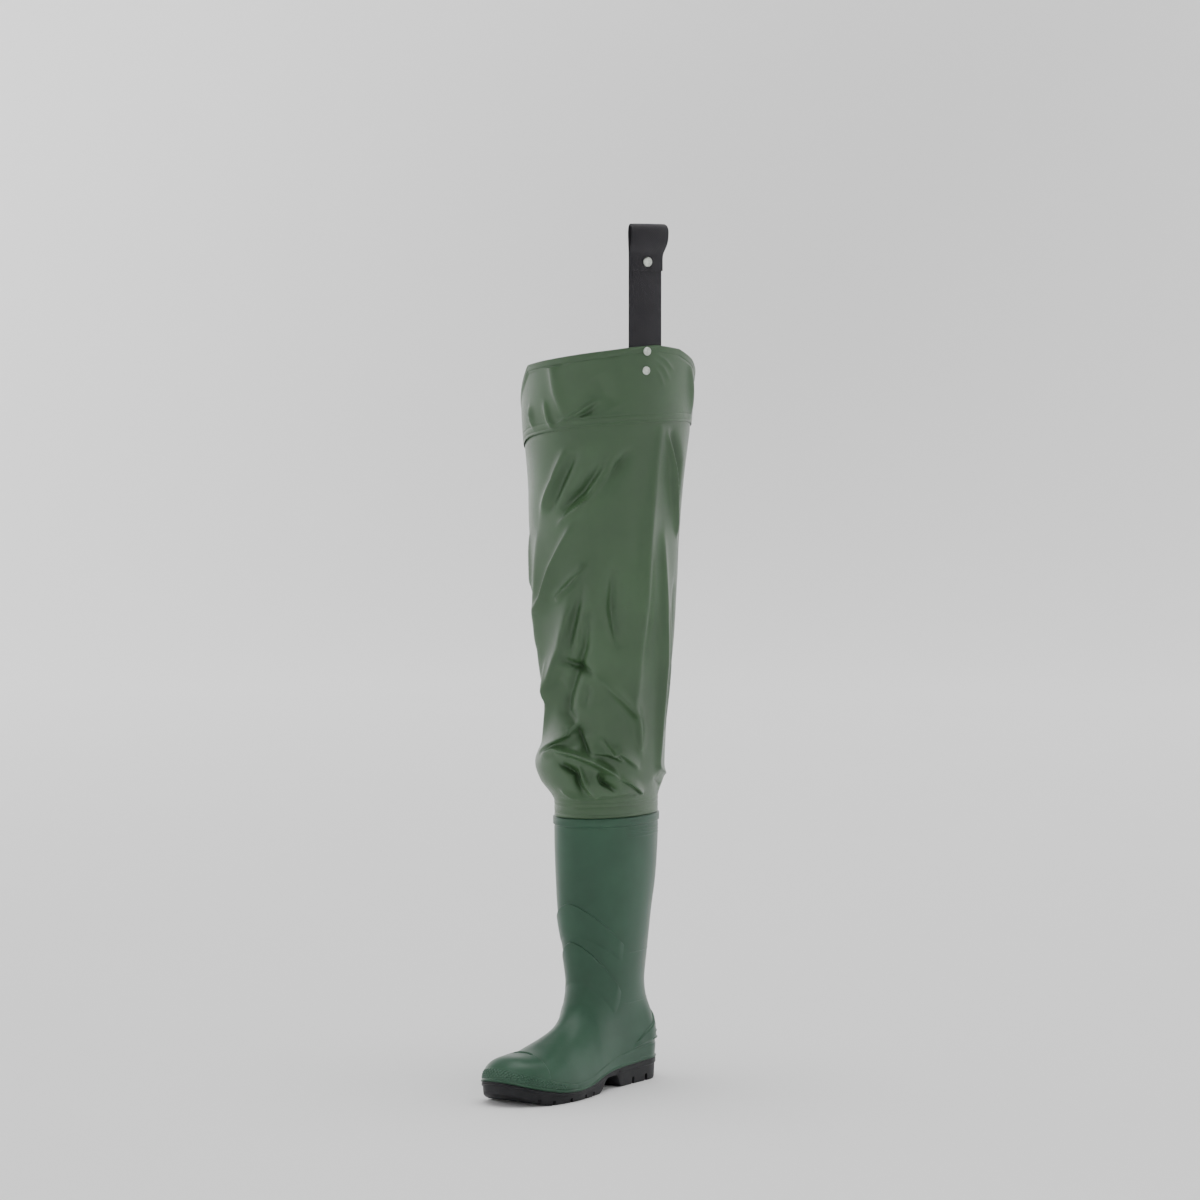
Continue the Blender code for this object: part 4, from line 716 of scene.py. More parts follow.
def toe_bumper(wall):
    """The raised band round the toe, with its diamond grip cut in."""
    sizes = wall.form.sizes
    half = wall.half_count
    columns = np.linspace(half * (1 - BUMPER_SHARE), half * (1 + BUMPER_SHARE), 460)
    away = np.abs(columns - half) / (BUMPER_SHARE * half)
    foot = wall.at(np.full(len(columns), 2.0), columns)[0]
    sole = wall.form.feather(sizes.heel_middle - foot[:, 1])
    high = sole + FOXING_AT_TOE + BUMPER_RISE * (1 - away**2) - BUMPER_DROP * away**2
    low_rows = np.full(len(columns), 4.0)
    high_rows = np.interp(
        np.arange(len(columns)), np.arange(0, len(columns), 10),
        wall.rows_at_height(columns[::10], high[::10], 5),
    )
    share = np.linspace(0, 1, 40)
    rows = low_rows + (high_rows - low_rows) * share[:, None]
    points, normals = wall.at(rows, np.broadcast_to(columns, rows.shape))
    along = np.cumsum(np.r_[0, np.linalg.norm(np.diff(foot, axis=0), axis=1)])[None, :]
    up = points[..., 2] - sole[None, :]
    tall = (high - sole)[None, :]
    band = smoothstep(4.2 * MM, 4.8 * MM, up) * (1 - smoothstep(tall - 3.0 * MM, tall - 2.2 * MM, up))
    band = band * (1 - smoothstep(*GRIP_FADES, away))[None, :]
    grip = np.abs(np.sin(math.pi * (along + up) / GRIP_PITCH) * np.sin(math.pi * (along - up) / GRIP_PITCH))
    edge = 1 - smoothstep(tall - 1.1 * MM, tall, up)
    sides = (1 - smoothstep(0.8, 1.0, away))[None, :]
    height = BUMPER_STEP * edge * sides - 0.3 * MM * (1 - edge * sides)
    height = height + (GRIP_DEPTH * grip - 0.6 * MM) * band
    rim = (1 - smoothstep(2.4 * MM, 3.0 * MM, up)) - 1.1 * np.exp(-(((up - 3.5 * MM) / (0.5 * MM)) ** 2))
    height = height + 0.9 * MM * rim * sides
    return points + normals * height[..., None]


def ridge_strip(wall, columns, rows, half_width, height):
    """A thin rounded bead on the boot along a line of rows and columns."""
    points, normals = wall.at(rows, columns)
    along = np.gradient(points, axis=0)
    across = np.cross(normals, along)
    across /= np.linalg.norm(across, axis=-1, keepdims=True)
    ends = np.sin(np.linspace(0, math.pi, len(points))) ** 0.35
    strip = []
    for place in (-1, -0.75, -0.4, 0, 0.4, 0.75, 1):
        rise = (1 - place * place) * height * ends - 0.25 * MM * abs(place)
        strip.append(points + across * place * half_width + normals * rise[:, None])
    return np.array(strip)


class LegForm:
    """The inner surface of the fabric leg, worked out from the wader's sizes."""

    def __init__(self, sizes):
        self.sizes = sizes
        boot = BootForm(sizes)
        self.bottom = sizes.boot_height - sizes.sleeve_overlap + 0.5 * MM
        front, back = float(boot.front_reach(sizes.boot_height)), float(boot.back_reach(sizes.boot_height))
        self.neck_middle = sizes.heel_middle - 0.5 * (front + back)
        self.neck_depth = 0.5 * (front - back) - NECK_INSET + CLEARANCE
        self.neck_width = 0.5 * sizes.collar_width - NECK_INSET + CLEARANCE
        self.half_width = spline(LEG_RISE, LEG_HALF_WIDTH)
        self.half_depth = spline(LEG_RISE, LEG_HALF_DEPTH)
        self.shift_out = spline(LEG_RISE, LEG_SHIFT_OUT)
        self.shift_toe = spline(LEG_RISE, LEG_SHIFT_TOE)
        self.panel = sizes.rim_height - sizes.seam_height

    def rim(self, angle):
        return self.sizes.rim_height - self.panel * np.interp(angle, RIM_ANGLE, RIM_DROP)

    def seam(self, angle):
        return self.sizes.seam_height - self.panel * np.interp(angle, RIM_ANGLE, SEAM_DROP)

    def lap(self, angle):
        """How far the leg runs up inside the panel."""
        return np.minimum(SEAM_LAP, 0.45 * (self.rim(angle) - self.seam(angle)))

    def section(self, height):
        """Half width, half depth, and the middle's x and y at heights."""
        sizes = self.sizes
        rise = (height - self.bottom) / (sizes.seam_height - self.bottom)
        blend = smoothstep(sizes.boot_height + 1 * MM, sizes.boot_height + 34 * MM, height)
        depth = (1 - blend) * self.neck_depth + blend * 0.5 * sizes.thigh_depth * self.half_depth(rise)
        width = (1 - blend) * self.neck_width + blend * 0.5 * sizes.thigh_width * self.half_width(rise)
        y = (1 - blend) * self.neck_middle - blend * 0.5 * sizes.thigh_width * self.shift_toe(rise)
        x = blend * 0.5 * sizes.thigh_width * self.shift_out(rise)
        return width, depth, x, y, blend

    def point(self, height, turn):
        """Points at heights and turns: 0 at the back, round the outer side to pi in front and on to 2 pi."""
        width, depth, middle_x, middle_y, blend = self.section(height)
        side = np.where(turn <= math.pi, 1.0, -1.0)
        y = np.cos(turn) * depth
        x = side * width * (1 - np.abs(np.cos(turn)) ** 2.1) ** (1 / 2.1)
        length = np.hypot(x, y)
        way = math.radians(FOLD_ANGLE)
        facing = np.maximum((x * math.cos(way) + y * math.sin(way)) / length, 0) ** 2
        swell = FOLD_SWELL * facing * np.exp(-(((height - FOLD_HEIGHT) / FOLD_SPREAD) ** 2)) * blend
        grow = 1 + swell / length
        return np.stack([x * grow + middle_x, y * grow + middle_y, height + 0 * x], axis=-1)

    def angles(self, count):
        """Turns of the columns and their angles round the thigh, in degrees from the outer side."""
        turn = np.linspace(0, 2 * math.pi, count, endpoint=False)
        ring = self.point(np.full(count, self.sizes.seam_height), turn)
        middle = 0.5 * (ring.max(axis=0) + ring.min(axis=0))
        return turn, np.degrees(np.arctan2(ring[:, 1] - middle[1], ring[:, 0] - middle[0]))

    def creases(self, points, table, deeper=1.0, wider=1.0):
        """How far the creases of a table move points of the leg out, as a length."""
        sizes = self.sizes
        drawn = MM * sizes.seam_height / DRAWN_SEAM
        width, depth, middle_x, middle_y, _ = self.section(points[..., 2])
        angle = np.degrees(np.arctan2(points[..., 1] - middle_y, points[..., 0] - middle_x))
        radius = 0.5 * (width + depth)
        moved = np.zeros(points.shape[:-1])
        for rise, spread, lean, path in table:
            nearest = np.full(moved.shape, 1e9)
            along = np.zeros(moved.shape)
            side = np.zeros(moved.shape)
            for k, ((z0, a0), (z1, a1)) in enumerate(zip(path, path[1:])):
                middle = 0.5 * (a0 + a1)
                u = np.radians((angle - middle + 180) % 360 - 180 + middle - a0) * radius
                v = points[..., 2] - z0 * drawn
                du, dv = np.radians(a1 - a0) * radius, (z1 - z0) * drawn
                t = np.clip((u * du + v * dv) / (du * du + dv * dv), 0, 1)
                away = np.hypot(u - t * du, v - t * dv)
                closer = away < nearest
                along = np.where(closer, (k + t) / (len(path) - 1), along)
                side = np.where(closer, np.tanh((du * v - dv * u) / (np.hypot(du, dv) * 2 * MM)), side)
                nearest = np.minimum(nearest, away)
            spread = spread * wider * drawn
            crest = 0.3 * spread
            slope = 0.8 * spread * (1 + lean * side)
            shape = np.exp(-(np.hypot(nearest, crest) - crest) / slope - (nearest / (2.6 * spread)) ** 2)
            moved += rise * shape * (0.2 + 0.8 * np.sin(math.pi * along) ** 0.7)
        return moved * deeper * sizes.crease

    def slack(self, points):
        """Soft unevenness of the cloth between the creases."""
        x, y, z = (points[..., k] / self.sizes.crease for k in range(3))
        waves = np.sin(0.31 * z + 0.23 * x) * np.sin(0.17 * y - 0.11 * z + 1.3)
        waves += 0.6 * np.sin(0.53 * x - 0.29 * z + 0.7) * np.sin(0.41 * y + 0.19 * z)
        return 0.11 * self.sizes.crease * waves


def clear_piece(name):
    """Removes a piece of an earlier run, so that an operator can be run again."""
    if name in bpy.data.objects:
        bpy.data.objects.remove(bpy.data.objects[name])


def place_piece(piece, material, slot, *nodes):
    """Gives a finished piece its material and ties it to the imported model."""
    if len(piece.data.polygons) == 0:
        raise RuntimeError(f"{piece.name} has no faces")
    piece.data.materials.clear()
    piece.data.materials.append(material)
    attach(piece, "root")
    if nodes:
        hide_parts(*nodes)


def shader_group(name, inputs, outputs):
    """An empty node group with named sockets, and its ends."""
    tree = bpy.data.node_groups.new(name, "ShaderNodeTree")
    for label, kind, default in inputs:
        socket = tree.interface.new_socket(label, in_out="INPUT", socket_type=kind)
        if default is not None:
            socket.default_value = default
    for label, kind in outputs:
        tree.interface.new_socket(label, in_out="OUTPUT", socket_type=kind)
    return tree, tree.nodes.new("NodeGroupInput"), tree.nodes.new("NodeGroupOutput")


def add_node(tree, kind, settings=(), **inputs):
    """A shader node with its settings, and its inputs linked or set by name with _ for a space."""
    made = tree.nodes.new(f"ShaderNode{kind}")
    for name, value in dict(settings).items():
        setattr(made, name, value)
    for name, value in inputs.items():
        numbered = name.startswith("n")
        socket = made.inputs[int(name[1:]) if numbered else name.replace("_", " ")]
        if isinstance(value, bpy.types.NodeSocket):
            tree.links.new(value, socket)
        else:
            socket.default_value = value
    return made


def math_node(tree, operation, *values):
    inputs = {f"n{k}": value for k, value in enumerate(values)}
    return add_node(tree, "Math", {"operation": operation}, **inputs).outputs[0]


def ranged(tree, value, low, high, to_low=0.0, to_high=1.0):
    """A value with one range taken to another."""
    return add_node(
        tree, "MapRange", Value=value, From_Min=low, From_Max=high, To_Min=to_low, To_Max=to_high
    ).outputs[0]


def mottle_group():
    """Slow and fine unevenness of a surface, for its colour and roughness."""
    if "mottle" in bpy.data.node_groups:
        return bpy.data.node_groups["mottle"]
    tree, start, end = shader_group(
        "mottle",
        [("Patch Scale", "NodeSocketFloat", 12.0), ("Grain Scale", "NodeSocketFloat", 900.0)],
        [("Patches", "NodeSocketFloat"), ("Grain", "NodeSocketFloat")],
    )
    place = add_node(tree, "TexCoord").outputs["Object"]
    patches = add_node(tree, "TexNoise", Vector=place, Detail=4.0, Roughness=0.55)
    grain = add_node(tree, "TexNoise", Vector=place, Detail=2.0, Roughness=0.6)
    tree.links.new(start.outputs["Patch Scale"], patches.inputs["Scale"])
    tree.links.new(start.outputs["Grain Scale"], grain.inputs["Scale"])
    tree.links.new(patches.outputs["Fac"], end.inputs["Patches"])
    tree.links.new(grain.outputs["Fac"], end.inputs["Grain"])
    return tree


def dust_group():
    """Pale dust and rubbing: on faces that look up, near the ground, and in patches."""
    if "dust" in bpy.data.node_groups:
        return bpy.data.node_groups["dust"]
    tree, start, end = shader_group(
        "dust",
        [("Amount", "NodeSocketFloat", 0.3), ("Fades By", "NodeSocketFloat", 0.25)],
        [("Dust", "NodeSocketFloat")],
    )
    place = add_node(tree, "TexCoord").outputs["Object"]
    up = add_node(tree, "SeparateXYZ", Vector=add_node(tree, "NewGeometry").outputs["Normal"]).outputs["Z"]
    height = add_node(tree, "SeparateXYZ", Vector=place).outputs["Z"]
    low = math_node(tree, "SUBTRACT", 1.0, math_node(tree, "DIVIDE", height, start.outputs["Fades By"]))
    low = add_node(tree, "Clamp", Value=low).outputs[0]
    ledge = ranged(tree, up, 0.25, 0.95)
    noise = add_node(tree, "TexNoise", Vector=place, Scale=38.0, Detail=6.0, Roughness=0.65).outputs["Fac"]
    broken = ranged(tree, noise, 0.42, 0.68)
    settled = math_node(tree, "ADD", math_node(tree, "MULTIPLY", low, 0.6), ledge)
    some = math_node(tree, "MULTIPLY", broken, settled)
    tree.links.new(math_node(tree, "MULTIPLY", some, start.outputs["Amount"]), end.inputs["Dust"])
    return tree


def weave_group():
    """Threads over and under each other, laid along the cloth's own lengths."""
    if "weave" in bpy.data.node_groups:
        return bpy.data.node_groups["weave"]
    tree, start, end = shader_group(
        "weave",
        [("Threads Across", "NodeSocketFloat", 1600.0), ("Threads Along", "NodeSocketFloat", 1600.0)],
        [("Height", "NodeSocketFloat")],
    )
    place = add_node(tree, "UVMap", {"uv_map": "cloth"}).outputs["UV"]
    parts = add_node(tree, "SeparateXYZ", Vector=place)
    across = math_node(tree, "MULTIPLY", parts.outputs["X"], start.outputs["Threads Across"])
    along = math_node(tree, "MULTIPLY", parts.outputs["Y"], start.outputs["Threads Along"])
    warp = math_node(tree, "SINE", math_node(tree, "MULTIPLY", across, math.pi))
    weft = math_node(tree, "SINE", math_node(tree, "MULTIPLY", along, math.pi))
    over = math_node(tree, "MULTIPLY", warp, weft)
    height = math_node(tree, "MULTIPLY_ADD", over, 0.5, 0.5)
    tree.links.new(height, end.inputs["Height"])
    return tree


def group_node(tree, group, **inputs):
    made = tree.nodes.new("ShaderNodeGroup")
    made.node_tree = group
    for name, value in inputs.items():
        made.inputs[name.replace("_", " ")].default_value = value
    return made


def start_material(name, **shader_values):
    """A material with its Principled shader set, ready for its colour and bump."""
    old = bpy.data.materials.get(name)
    if old:
        bpy.data.materials.remove(old)
    made = bpy.data.materials.new(name)
    made.use_nodes = True
    shader = made.node_tree.nodes["Principled BSDF"]
    for key, value in shader_values.items():
        shader.inputs[key.replace("_", " ")].default_value = value
    return made, made.node_tree, shader


def tinted(colour, factor):
    return tuple(min(1, c * factor) for c in colour) + (1,)


def mixed_colour(tree, factor, first, second):
    made = add_node(tree, "Mix", {"data_type": "RGBA"}, Factor=factor)
    for socket, value in ((made.inputs["A"], first), (made.inputs["B"], second)):
        for candidate in [s for s in made.inputs if s.name == socket.name and s.type == "RGBA"]:
            socket = candidate
        if isinstance(value, bpy.types.NodeSocket):
            tree.links.new(value, socket)
        else:
            socket.default_value = value
    return [s for s in made.outputs if s.type == "RGBA"][0]


def finish_shader(tree, shader, colour, roughness, height, distance, strength):
    """Feeds colour, roughness and a bump into a material's shader."""
    tree.links.new(colour, shader.inputs["Base Color"])
    tree.links.new(roughness, shader.inputs["Roughness"])
    bump = add_node(tree, "Bump", Strength=strength, Distance=distance, Height=height)
    tree.links.new(bump.outputs["Normal"], shader.inputs["Normal"])


def moulded_pvc(name, colour, dusty, patch, roughness, grain_depth):
    """Moulded plastic with a satin skin, uneven in tone and dusty where dirt settles."""
    made, tree, shader = start_material(name, Specular_IOR_Level=0.28)
    mottle = group_node(tree, mottle_group(), Patch_Scale=patch, Grain_Scale=1400.0)
    dust = group_node(tree, dust_group(), Amount=dusty, Fades_By=0.16)
    tone = ranged(tree, mottle.outputs["Patches"], 0.35, 0.68)
    skin = mixed_colour(tree, tone, tinted(colour, 0.84), tinted(colour, 1.14))
    pale = tuple(0.55 * c + 0.45 * PLASTIC_DUST for c in colour) + (1,)
    skin = mixed_colour(tree, dust.outputs["Dust"], skin, pale)
    rough = ranged(tree, mottle.outputs["Patches"], 0.3, 0.7, roughness - 0.05, roughness + 0.08)
    rough = math_node(tree, "MULTIPLY_ADD", dust.outputs["Dust"], 0.35, rough)
    finish_shader(tree, shader, skin, rough, mottle.outputs["Grain"], grain_depth, 0.35)
    return made


def coated_cloth(name, colour, threads, depth):
    """Coated fabric: a close weave under a thin film, rubbed lighter in patches, with a painted highlight on
    its raised threads.
    """
    made, tree, shader = start_material(
        name, Specular_IOR_Level=0.45, Coat_Weight=0.14, Coat_Roughness=0.16
    )
    mottle = group_node(tree, mottle_group(), Patch_Scale=9.0, Grain_Scale=620.0)
    dust = group_node(tree, dust_group(), Amount=0.06, Fades_By=0.9)
    weave = group_node(tree, weave_group(), Threads_Across=threads, Threads_Along=threads)
    tone = ranged(tree, mottle.outputs["Patches"], 0.36, 0.66)
    cloth = mixed_colour(tree, tone, tinted(colour, 0.86), tinted(colour, 1.16))
    # Painted highlight: the weave's raised threads are coloured lighter, following the height of its bump
    painted_thread_highlight = math_node(tree, "MULTIPLY", weave.outputs["Height"], 0.30)
    cloth = mixed_colour(tree, painted_thread_highlight, cloth, tinted(colour, 1.45))
    pale = tuple(0.6 * c + 0.4 * CLOTH_DUST for c in colour) + (1,)
    cloth = mixed_colour(tree, dust.outputs["Dust"], cloth, pale)
    rough = ranged(tree, mottle.outputs["Grain"], 0.3, 0.7, 0.30, 0.42)
    grain = math_node(tree, "MULTIPLY", mottle.outputs["Grain"], 0.6)
    height = math_node(tree, "ADD", weave.outputs["Height"], grain)
    finish_shader(tree, shader, cloth, rough, height, depth, 0.5)
    return made


def webbing(name, colour):
    """Heavy woven strap: thick ribs across and fine threads along, with a painted highlight on its raised
    ribs.
    """
    made, tree, shader = start_material(name, Specular_IOR_Level=0.35, Sheen_Weight=0.15)
    mottle = group_node(tree, mottle_group(), Patch_Scale=30.0, Grain_Scale=1500.0)
    weave = group_node(tree, weave_group(), Threads_Across=900.0, Threads_Along=620.0)
    dust = group_node(tree, dust_group(), Amount=0.12, Fades_By=1.6)
    tone = ranged(tree, mottle.outputs["Patches"], 0.35, 0.7)
    cloth = mixed_colour(tree, tone, tinted(colour, 0.85), tinted(colour, 1.2))
    # Painted highlight: the weave's raised ribs are coloured lighter, following the height of its bump
    ribs = math_node(tree, "MULTIPLY", weave.outputs["Height"], 0.5)
    cloth = mixed_colour(tree, ribs, cloth, tinted(colour, 1.9))
    cloth = mixed_colour(tree, dust.outputs["Dust"], cloth, STRAP_LINT)
    rough = ranged(tree, mottle.outputs["Grain"], 0, 1, 0.62, 0.85)
    finish_shader(tree, shader, cloth, rough, weave.outputs["Height"], 0.35 * MM, 0.6)
    return made


def plated_metal(name, colour):
    """Dull plating with fine scratches and tarnish in patches."""
    made, tree, shader = start_material(name)
    mottle = group_node(tree, mottle_group(), Patch_Scale=260.0, Grain_Scale=3000.0)
    tone = ranged(tree, mottle.outputs["Patches"], 0.35, 0.65)
    plate = mixed_colour(tree, tone, tinted(colour, 0.72), tinted(colour, 1.08))
    rough = ranged(tree, mottle.outputs["Patches"], 0, 1, 0.22, 0.48)
    metal = ranged(tree, mottle.outputs["Patches"], 0, 1, 1.0, 0.8)
    tree.links.new(metal, shader.inputs["Metallic"])
    finish_shader(tree, shader, plate, rough, mottle.outputs["Grain"], 0.06 * MM, 0.3)
    return made


def felt(name, colour):
    """Soft felt of the insole."""
    made, tree, shader = start_material(name, Specular_IOR_Level=0.2, Sheen_Weight=0.3)
    mottle = group_node(tree, mottle_group(), Patch_Scale=60.0, Grain_Scale=1800.0)
    nap = mixed_colour(tree, mottle.outputs["Grain"], tinted(colour, 0.7), tinted(colour, 1.3))
    rough = ranged(tree, mottle.outputs["Patches"], 0, 1, 0.85, 1.0)
    finish_shader(tree, shader, nap, rough, mottle.outputs["Grain"], 0.5 * MM, 0.7)
    return made


def studio_paint(name, colour):
    """Pale matt floor with a faint unevenness."""
    made, tree, shader = start_material(name, Specular_IOR_Level=0.1)
    mottle = group_node(tree, mottle_group(), Patch_Scale=1.5, Grain_Scale=200.0)
    paint = mixed_colour(tree, mottle.outputs["Patches"], tinted(colour, 0.985), tinted(colour, 1.01))
    rough = ranged(tree, mottle.outputs["Grain"], 0, 1, 0.85, 0.95)
    finish_shader(tree, shader, paint, rough, mottle.outputs["Grain"], 0.05 * MM, 0.1)
    return made


def boot_reliefs(wall):
    """Grids of the moulded steps and beads that lie on the boot's wall."""
    sizes = wall.form.sizes
    half, shaft = wall.half_count, sizes.boot_height - sizes.instep_height
    instep = sizes.instep_height
    grids = []
    for top, side_height, depth, share in SHIELDS:
        columns = np.linspace(half * (1 - share), half * (1 + share), 150)
        away = np.abs(columns - half) / (share * half)
        high = instep + shaft * (top + (side_height - top) * away**1.5)
        low = high - depth * shaft * (1 - 0.45 * away)
        low_rows, high_rows = wall.rows_at_height(columns, low), wall.rows_at_height(columns, high)
        grids.append(relief_sheet(wall, columns, low_rows, high_rows, SHIELD_STEP, fade=0.8))
    columns = np.linspace(half * (1 - TOE_CAP_SHARE), half * (1 + TOE_CAP_SHARE), 150)
    away = np.abs(columns - half) / (TOE_CAP_SHARE * half)
    edge = TOE_CAP_EDGE * sizes.foot_length * (1 + 0.024 * away**2)
    low_rows = np.full(len(columns), wall.first + 1.0)
    high_rows = np.maximum(wall.rows_at_reach(columns, edge), wall.first + 6.0)
    grids.append(relief_sheet(wall, columns, low_rows, high_rows, TOE_CAP_STEP, fade=0.3, row_count=44))
    grids.append(ridge_strip(wall, columns[8:-8], high_rows[8:-8], *TOE_CAP_BEAD))
    columns = np.linspace(-COUNTER_SHARE * half, COUNTER_SHARE * half, 170)
    arch = 1 - (np.abs(columns) / (COUNTER_SHARE * half)) ** 1.4
    high = instep * (COUNTER_SIDE + (COUNTER_TOP - COUNTER_SIDE) * arch)
    low_rows = np.full(len(columns), wall.first + 1.0)
    high_rows = np.maximum(wall.rows_at_height(columns, high), wall.first + 6.0)
    grids.append(relief_sheet(wall, columns, low_rows, high_rows, COUNTER_STEP, fade=0.3, row_count=40))
    grids.append(ridge_strip(wall, columns[10:-10], high_rows[10:-10], *COUNTER_BEAD))
    for k in range(SPUR_RIBS):
        share = SPUR_SHARE - SPUR_TAPER * k
        columns = np.linspace(-share * half, share * half, 60)
        rows = wall.rows_at_height(columns, instep * (SPUR_LOWEST + k * SPUR_PITCH))
        grids.append(ridge_strip(wall, columns, rows, *SPUR_BEAD))
    grids.append(toe_bumper(wall))
    for first, last, height, half_width, rise in BOOT_BEADS:
        columns = np.linspace(first * half, last * half, 90)
        rows = wall.rows_at_height(columns, instep + height * shaft)
        grids.append(ridge_strip(wall, columns, rows, half_width * MM, rise * MM))
    return grids


class SoleForm:
    """Edge, top and tread of the outsole."""

    def __init__(self, sizes):
        self.sizes = sizes
        self.boot = BootForm(sizes)
        self.edge = self.boot.ring(self.boot.follow(0, 0), SOLE_COLUMNS)
        along = np.roll(self.edge, -1, axis=0) - np.roll(self.edge, 1, axis=0)
        normal = np.stack([-along[:, 1], along[:, 0]], axis=1)
        normal /= np.linalg.norm(normal, axis=1, keepdims=True)
        outer_side = normal[SOLE_COLUMNS // 4 : 3 * SOLE_COLUMNS // 4, 0]
        self.normal = -normal if np.mean(outer_side) < 0 else normal

    def section(self, stations, out):
        """Reach and the two x of the edge, moved out by a length, at shares of its own length."""
        edge = self.edge[:, :2] + self.normal * out
        reach = self.sizes.heel_middle - edge[:, 1]
        sides = []
        outer_side = np.arange(SOLE_COLUMNS + 1)
        inner_side = np.r_[0, np.arange(2 * SOLE_COLUMNS - 1, SOLE_COLUMNS - 1, -1)]
        for places in (outer_side, inner_side):
            order = places[np.argsort(reach[places])]
            sides.append((reach[order], edge[order, 0]))
        first, last = sides[0][0].min(), sides[0][0].max()
        scaled = first + (last - first) * stations
        return scaled, np.interp(scaled, *sides[0]), np.interp(scaled, *sides[1])

    def tread(self, reach):
        share = reach / self.sizes.foot_length
        heel_back = 3 * MM * (1 - smoothstep(0.0, 0.035, share))
        arch = self.sizes.arch_height * smoothstep(0.318, 0.36, share) * (1 - smoothstep(0.43, 0.515, share))
        toe = self.sizes.toe_spring * np.clip((share - 0.85) / 0.15, 0, 1) ** 1.5
        return heel_back + arch + toe

    def mesh(self, name):
        turn = np.linspace(0, math.pi, 201)
        stations = (1 - np.cos(turn)) / 2
        top = self.boot.feather(self.section(stations, 0)[0]) - SOLE_TOP_ALLOWANCE
        loops = []
        for share, out in SOLE_LEVELS:
            reach, outer, inner = self.section(stations, out * MM)
            y, height = self.sizes.heel_middle - reach, top - (top - self.tread(reach)) * share
            sides = [np.stack([x, y, height], axis=1) for x in (outer, inner)]
            loops.append(np.concatenate([sides[0], sides[1][-2:0:-1]]))
        count, last = len(loops[0]), len(stations) - 1
        faces = ring_faces(len(loops), count)
        for base in (0, (len(loops) - 1) * count):
            for i in range(last):
                far = [base + (count - i) % count, base + (count - i - 1) % count]
                near = [base + i, base + i + 1]
                faces.append(tuple(near + [k for k in far[::-1] if k not in near]))
        return build_object(name, np.concatenate(loops), faces, smooth_angle=40)

    def groove(self, reach, width, depth, chevron):
        """A cutter across the tread, its middle set towards the toe."""
        top = float(self.tread(reach)) + depth
        half = 0.62 * self.sizes.ball_width
        front = [(-half, 0), (0, chevron), (half, 0)]
        outline = front + [(x, y - width) for x, y in front[::-1]]
        places = [(x, self.sizes.heel_middle - reach - y) for x, y in outline]
        points = [(x, y, -10 * MM) for x, y in places] + [(x, y, top) for x, y in places]
        faces = [(0, 1, 4, 5), (1, 2, 3, 4), (11, 10, 7, 6), (10, 9, 8, 7)]
        faces += [(i, (i + 1) % 6, (i + 1) % 6 + 6, i + 6) for i in range(6)]
        return build_object("groove_cutter", points, faces)


def cut_away(piece, cutter):
    """Cuts a piece with a helper, keeps the result and removes the helper."""
    step = piece.modifiers.new("Cut", "BOOLEAN")
    step.operation = "DIFFERENCE"
    step.object = cutter
    step.solver = "EXACT"
    keep_modifiers(piece)
    bpy.data.objects.remove(cutter)


def keep_modifiers(piece):
    """Replaces a piece's mesh by what its modifiers make of it."""
    graph = bpy.context.evaluated_depsgraph_get()
    made = bpy.data.meshes.new_from_object(piece.evaluated_get(graph))
    piece.modifiers.clear()
    piece.data = made


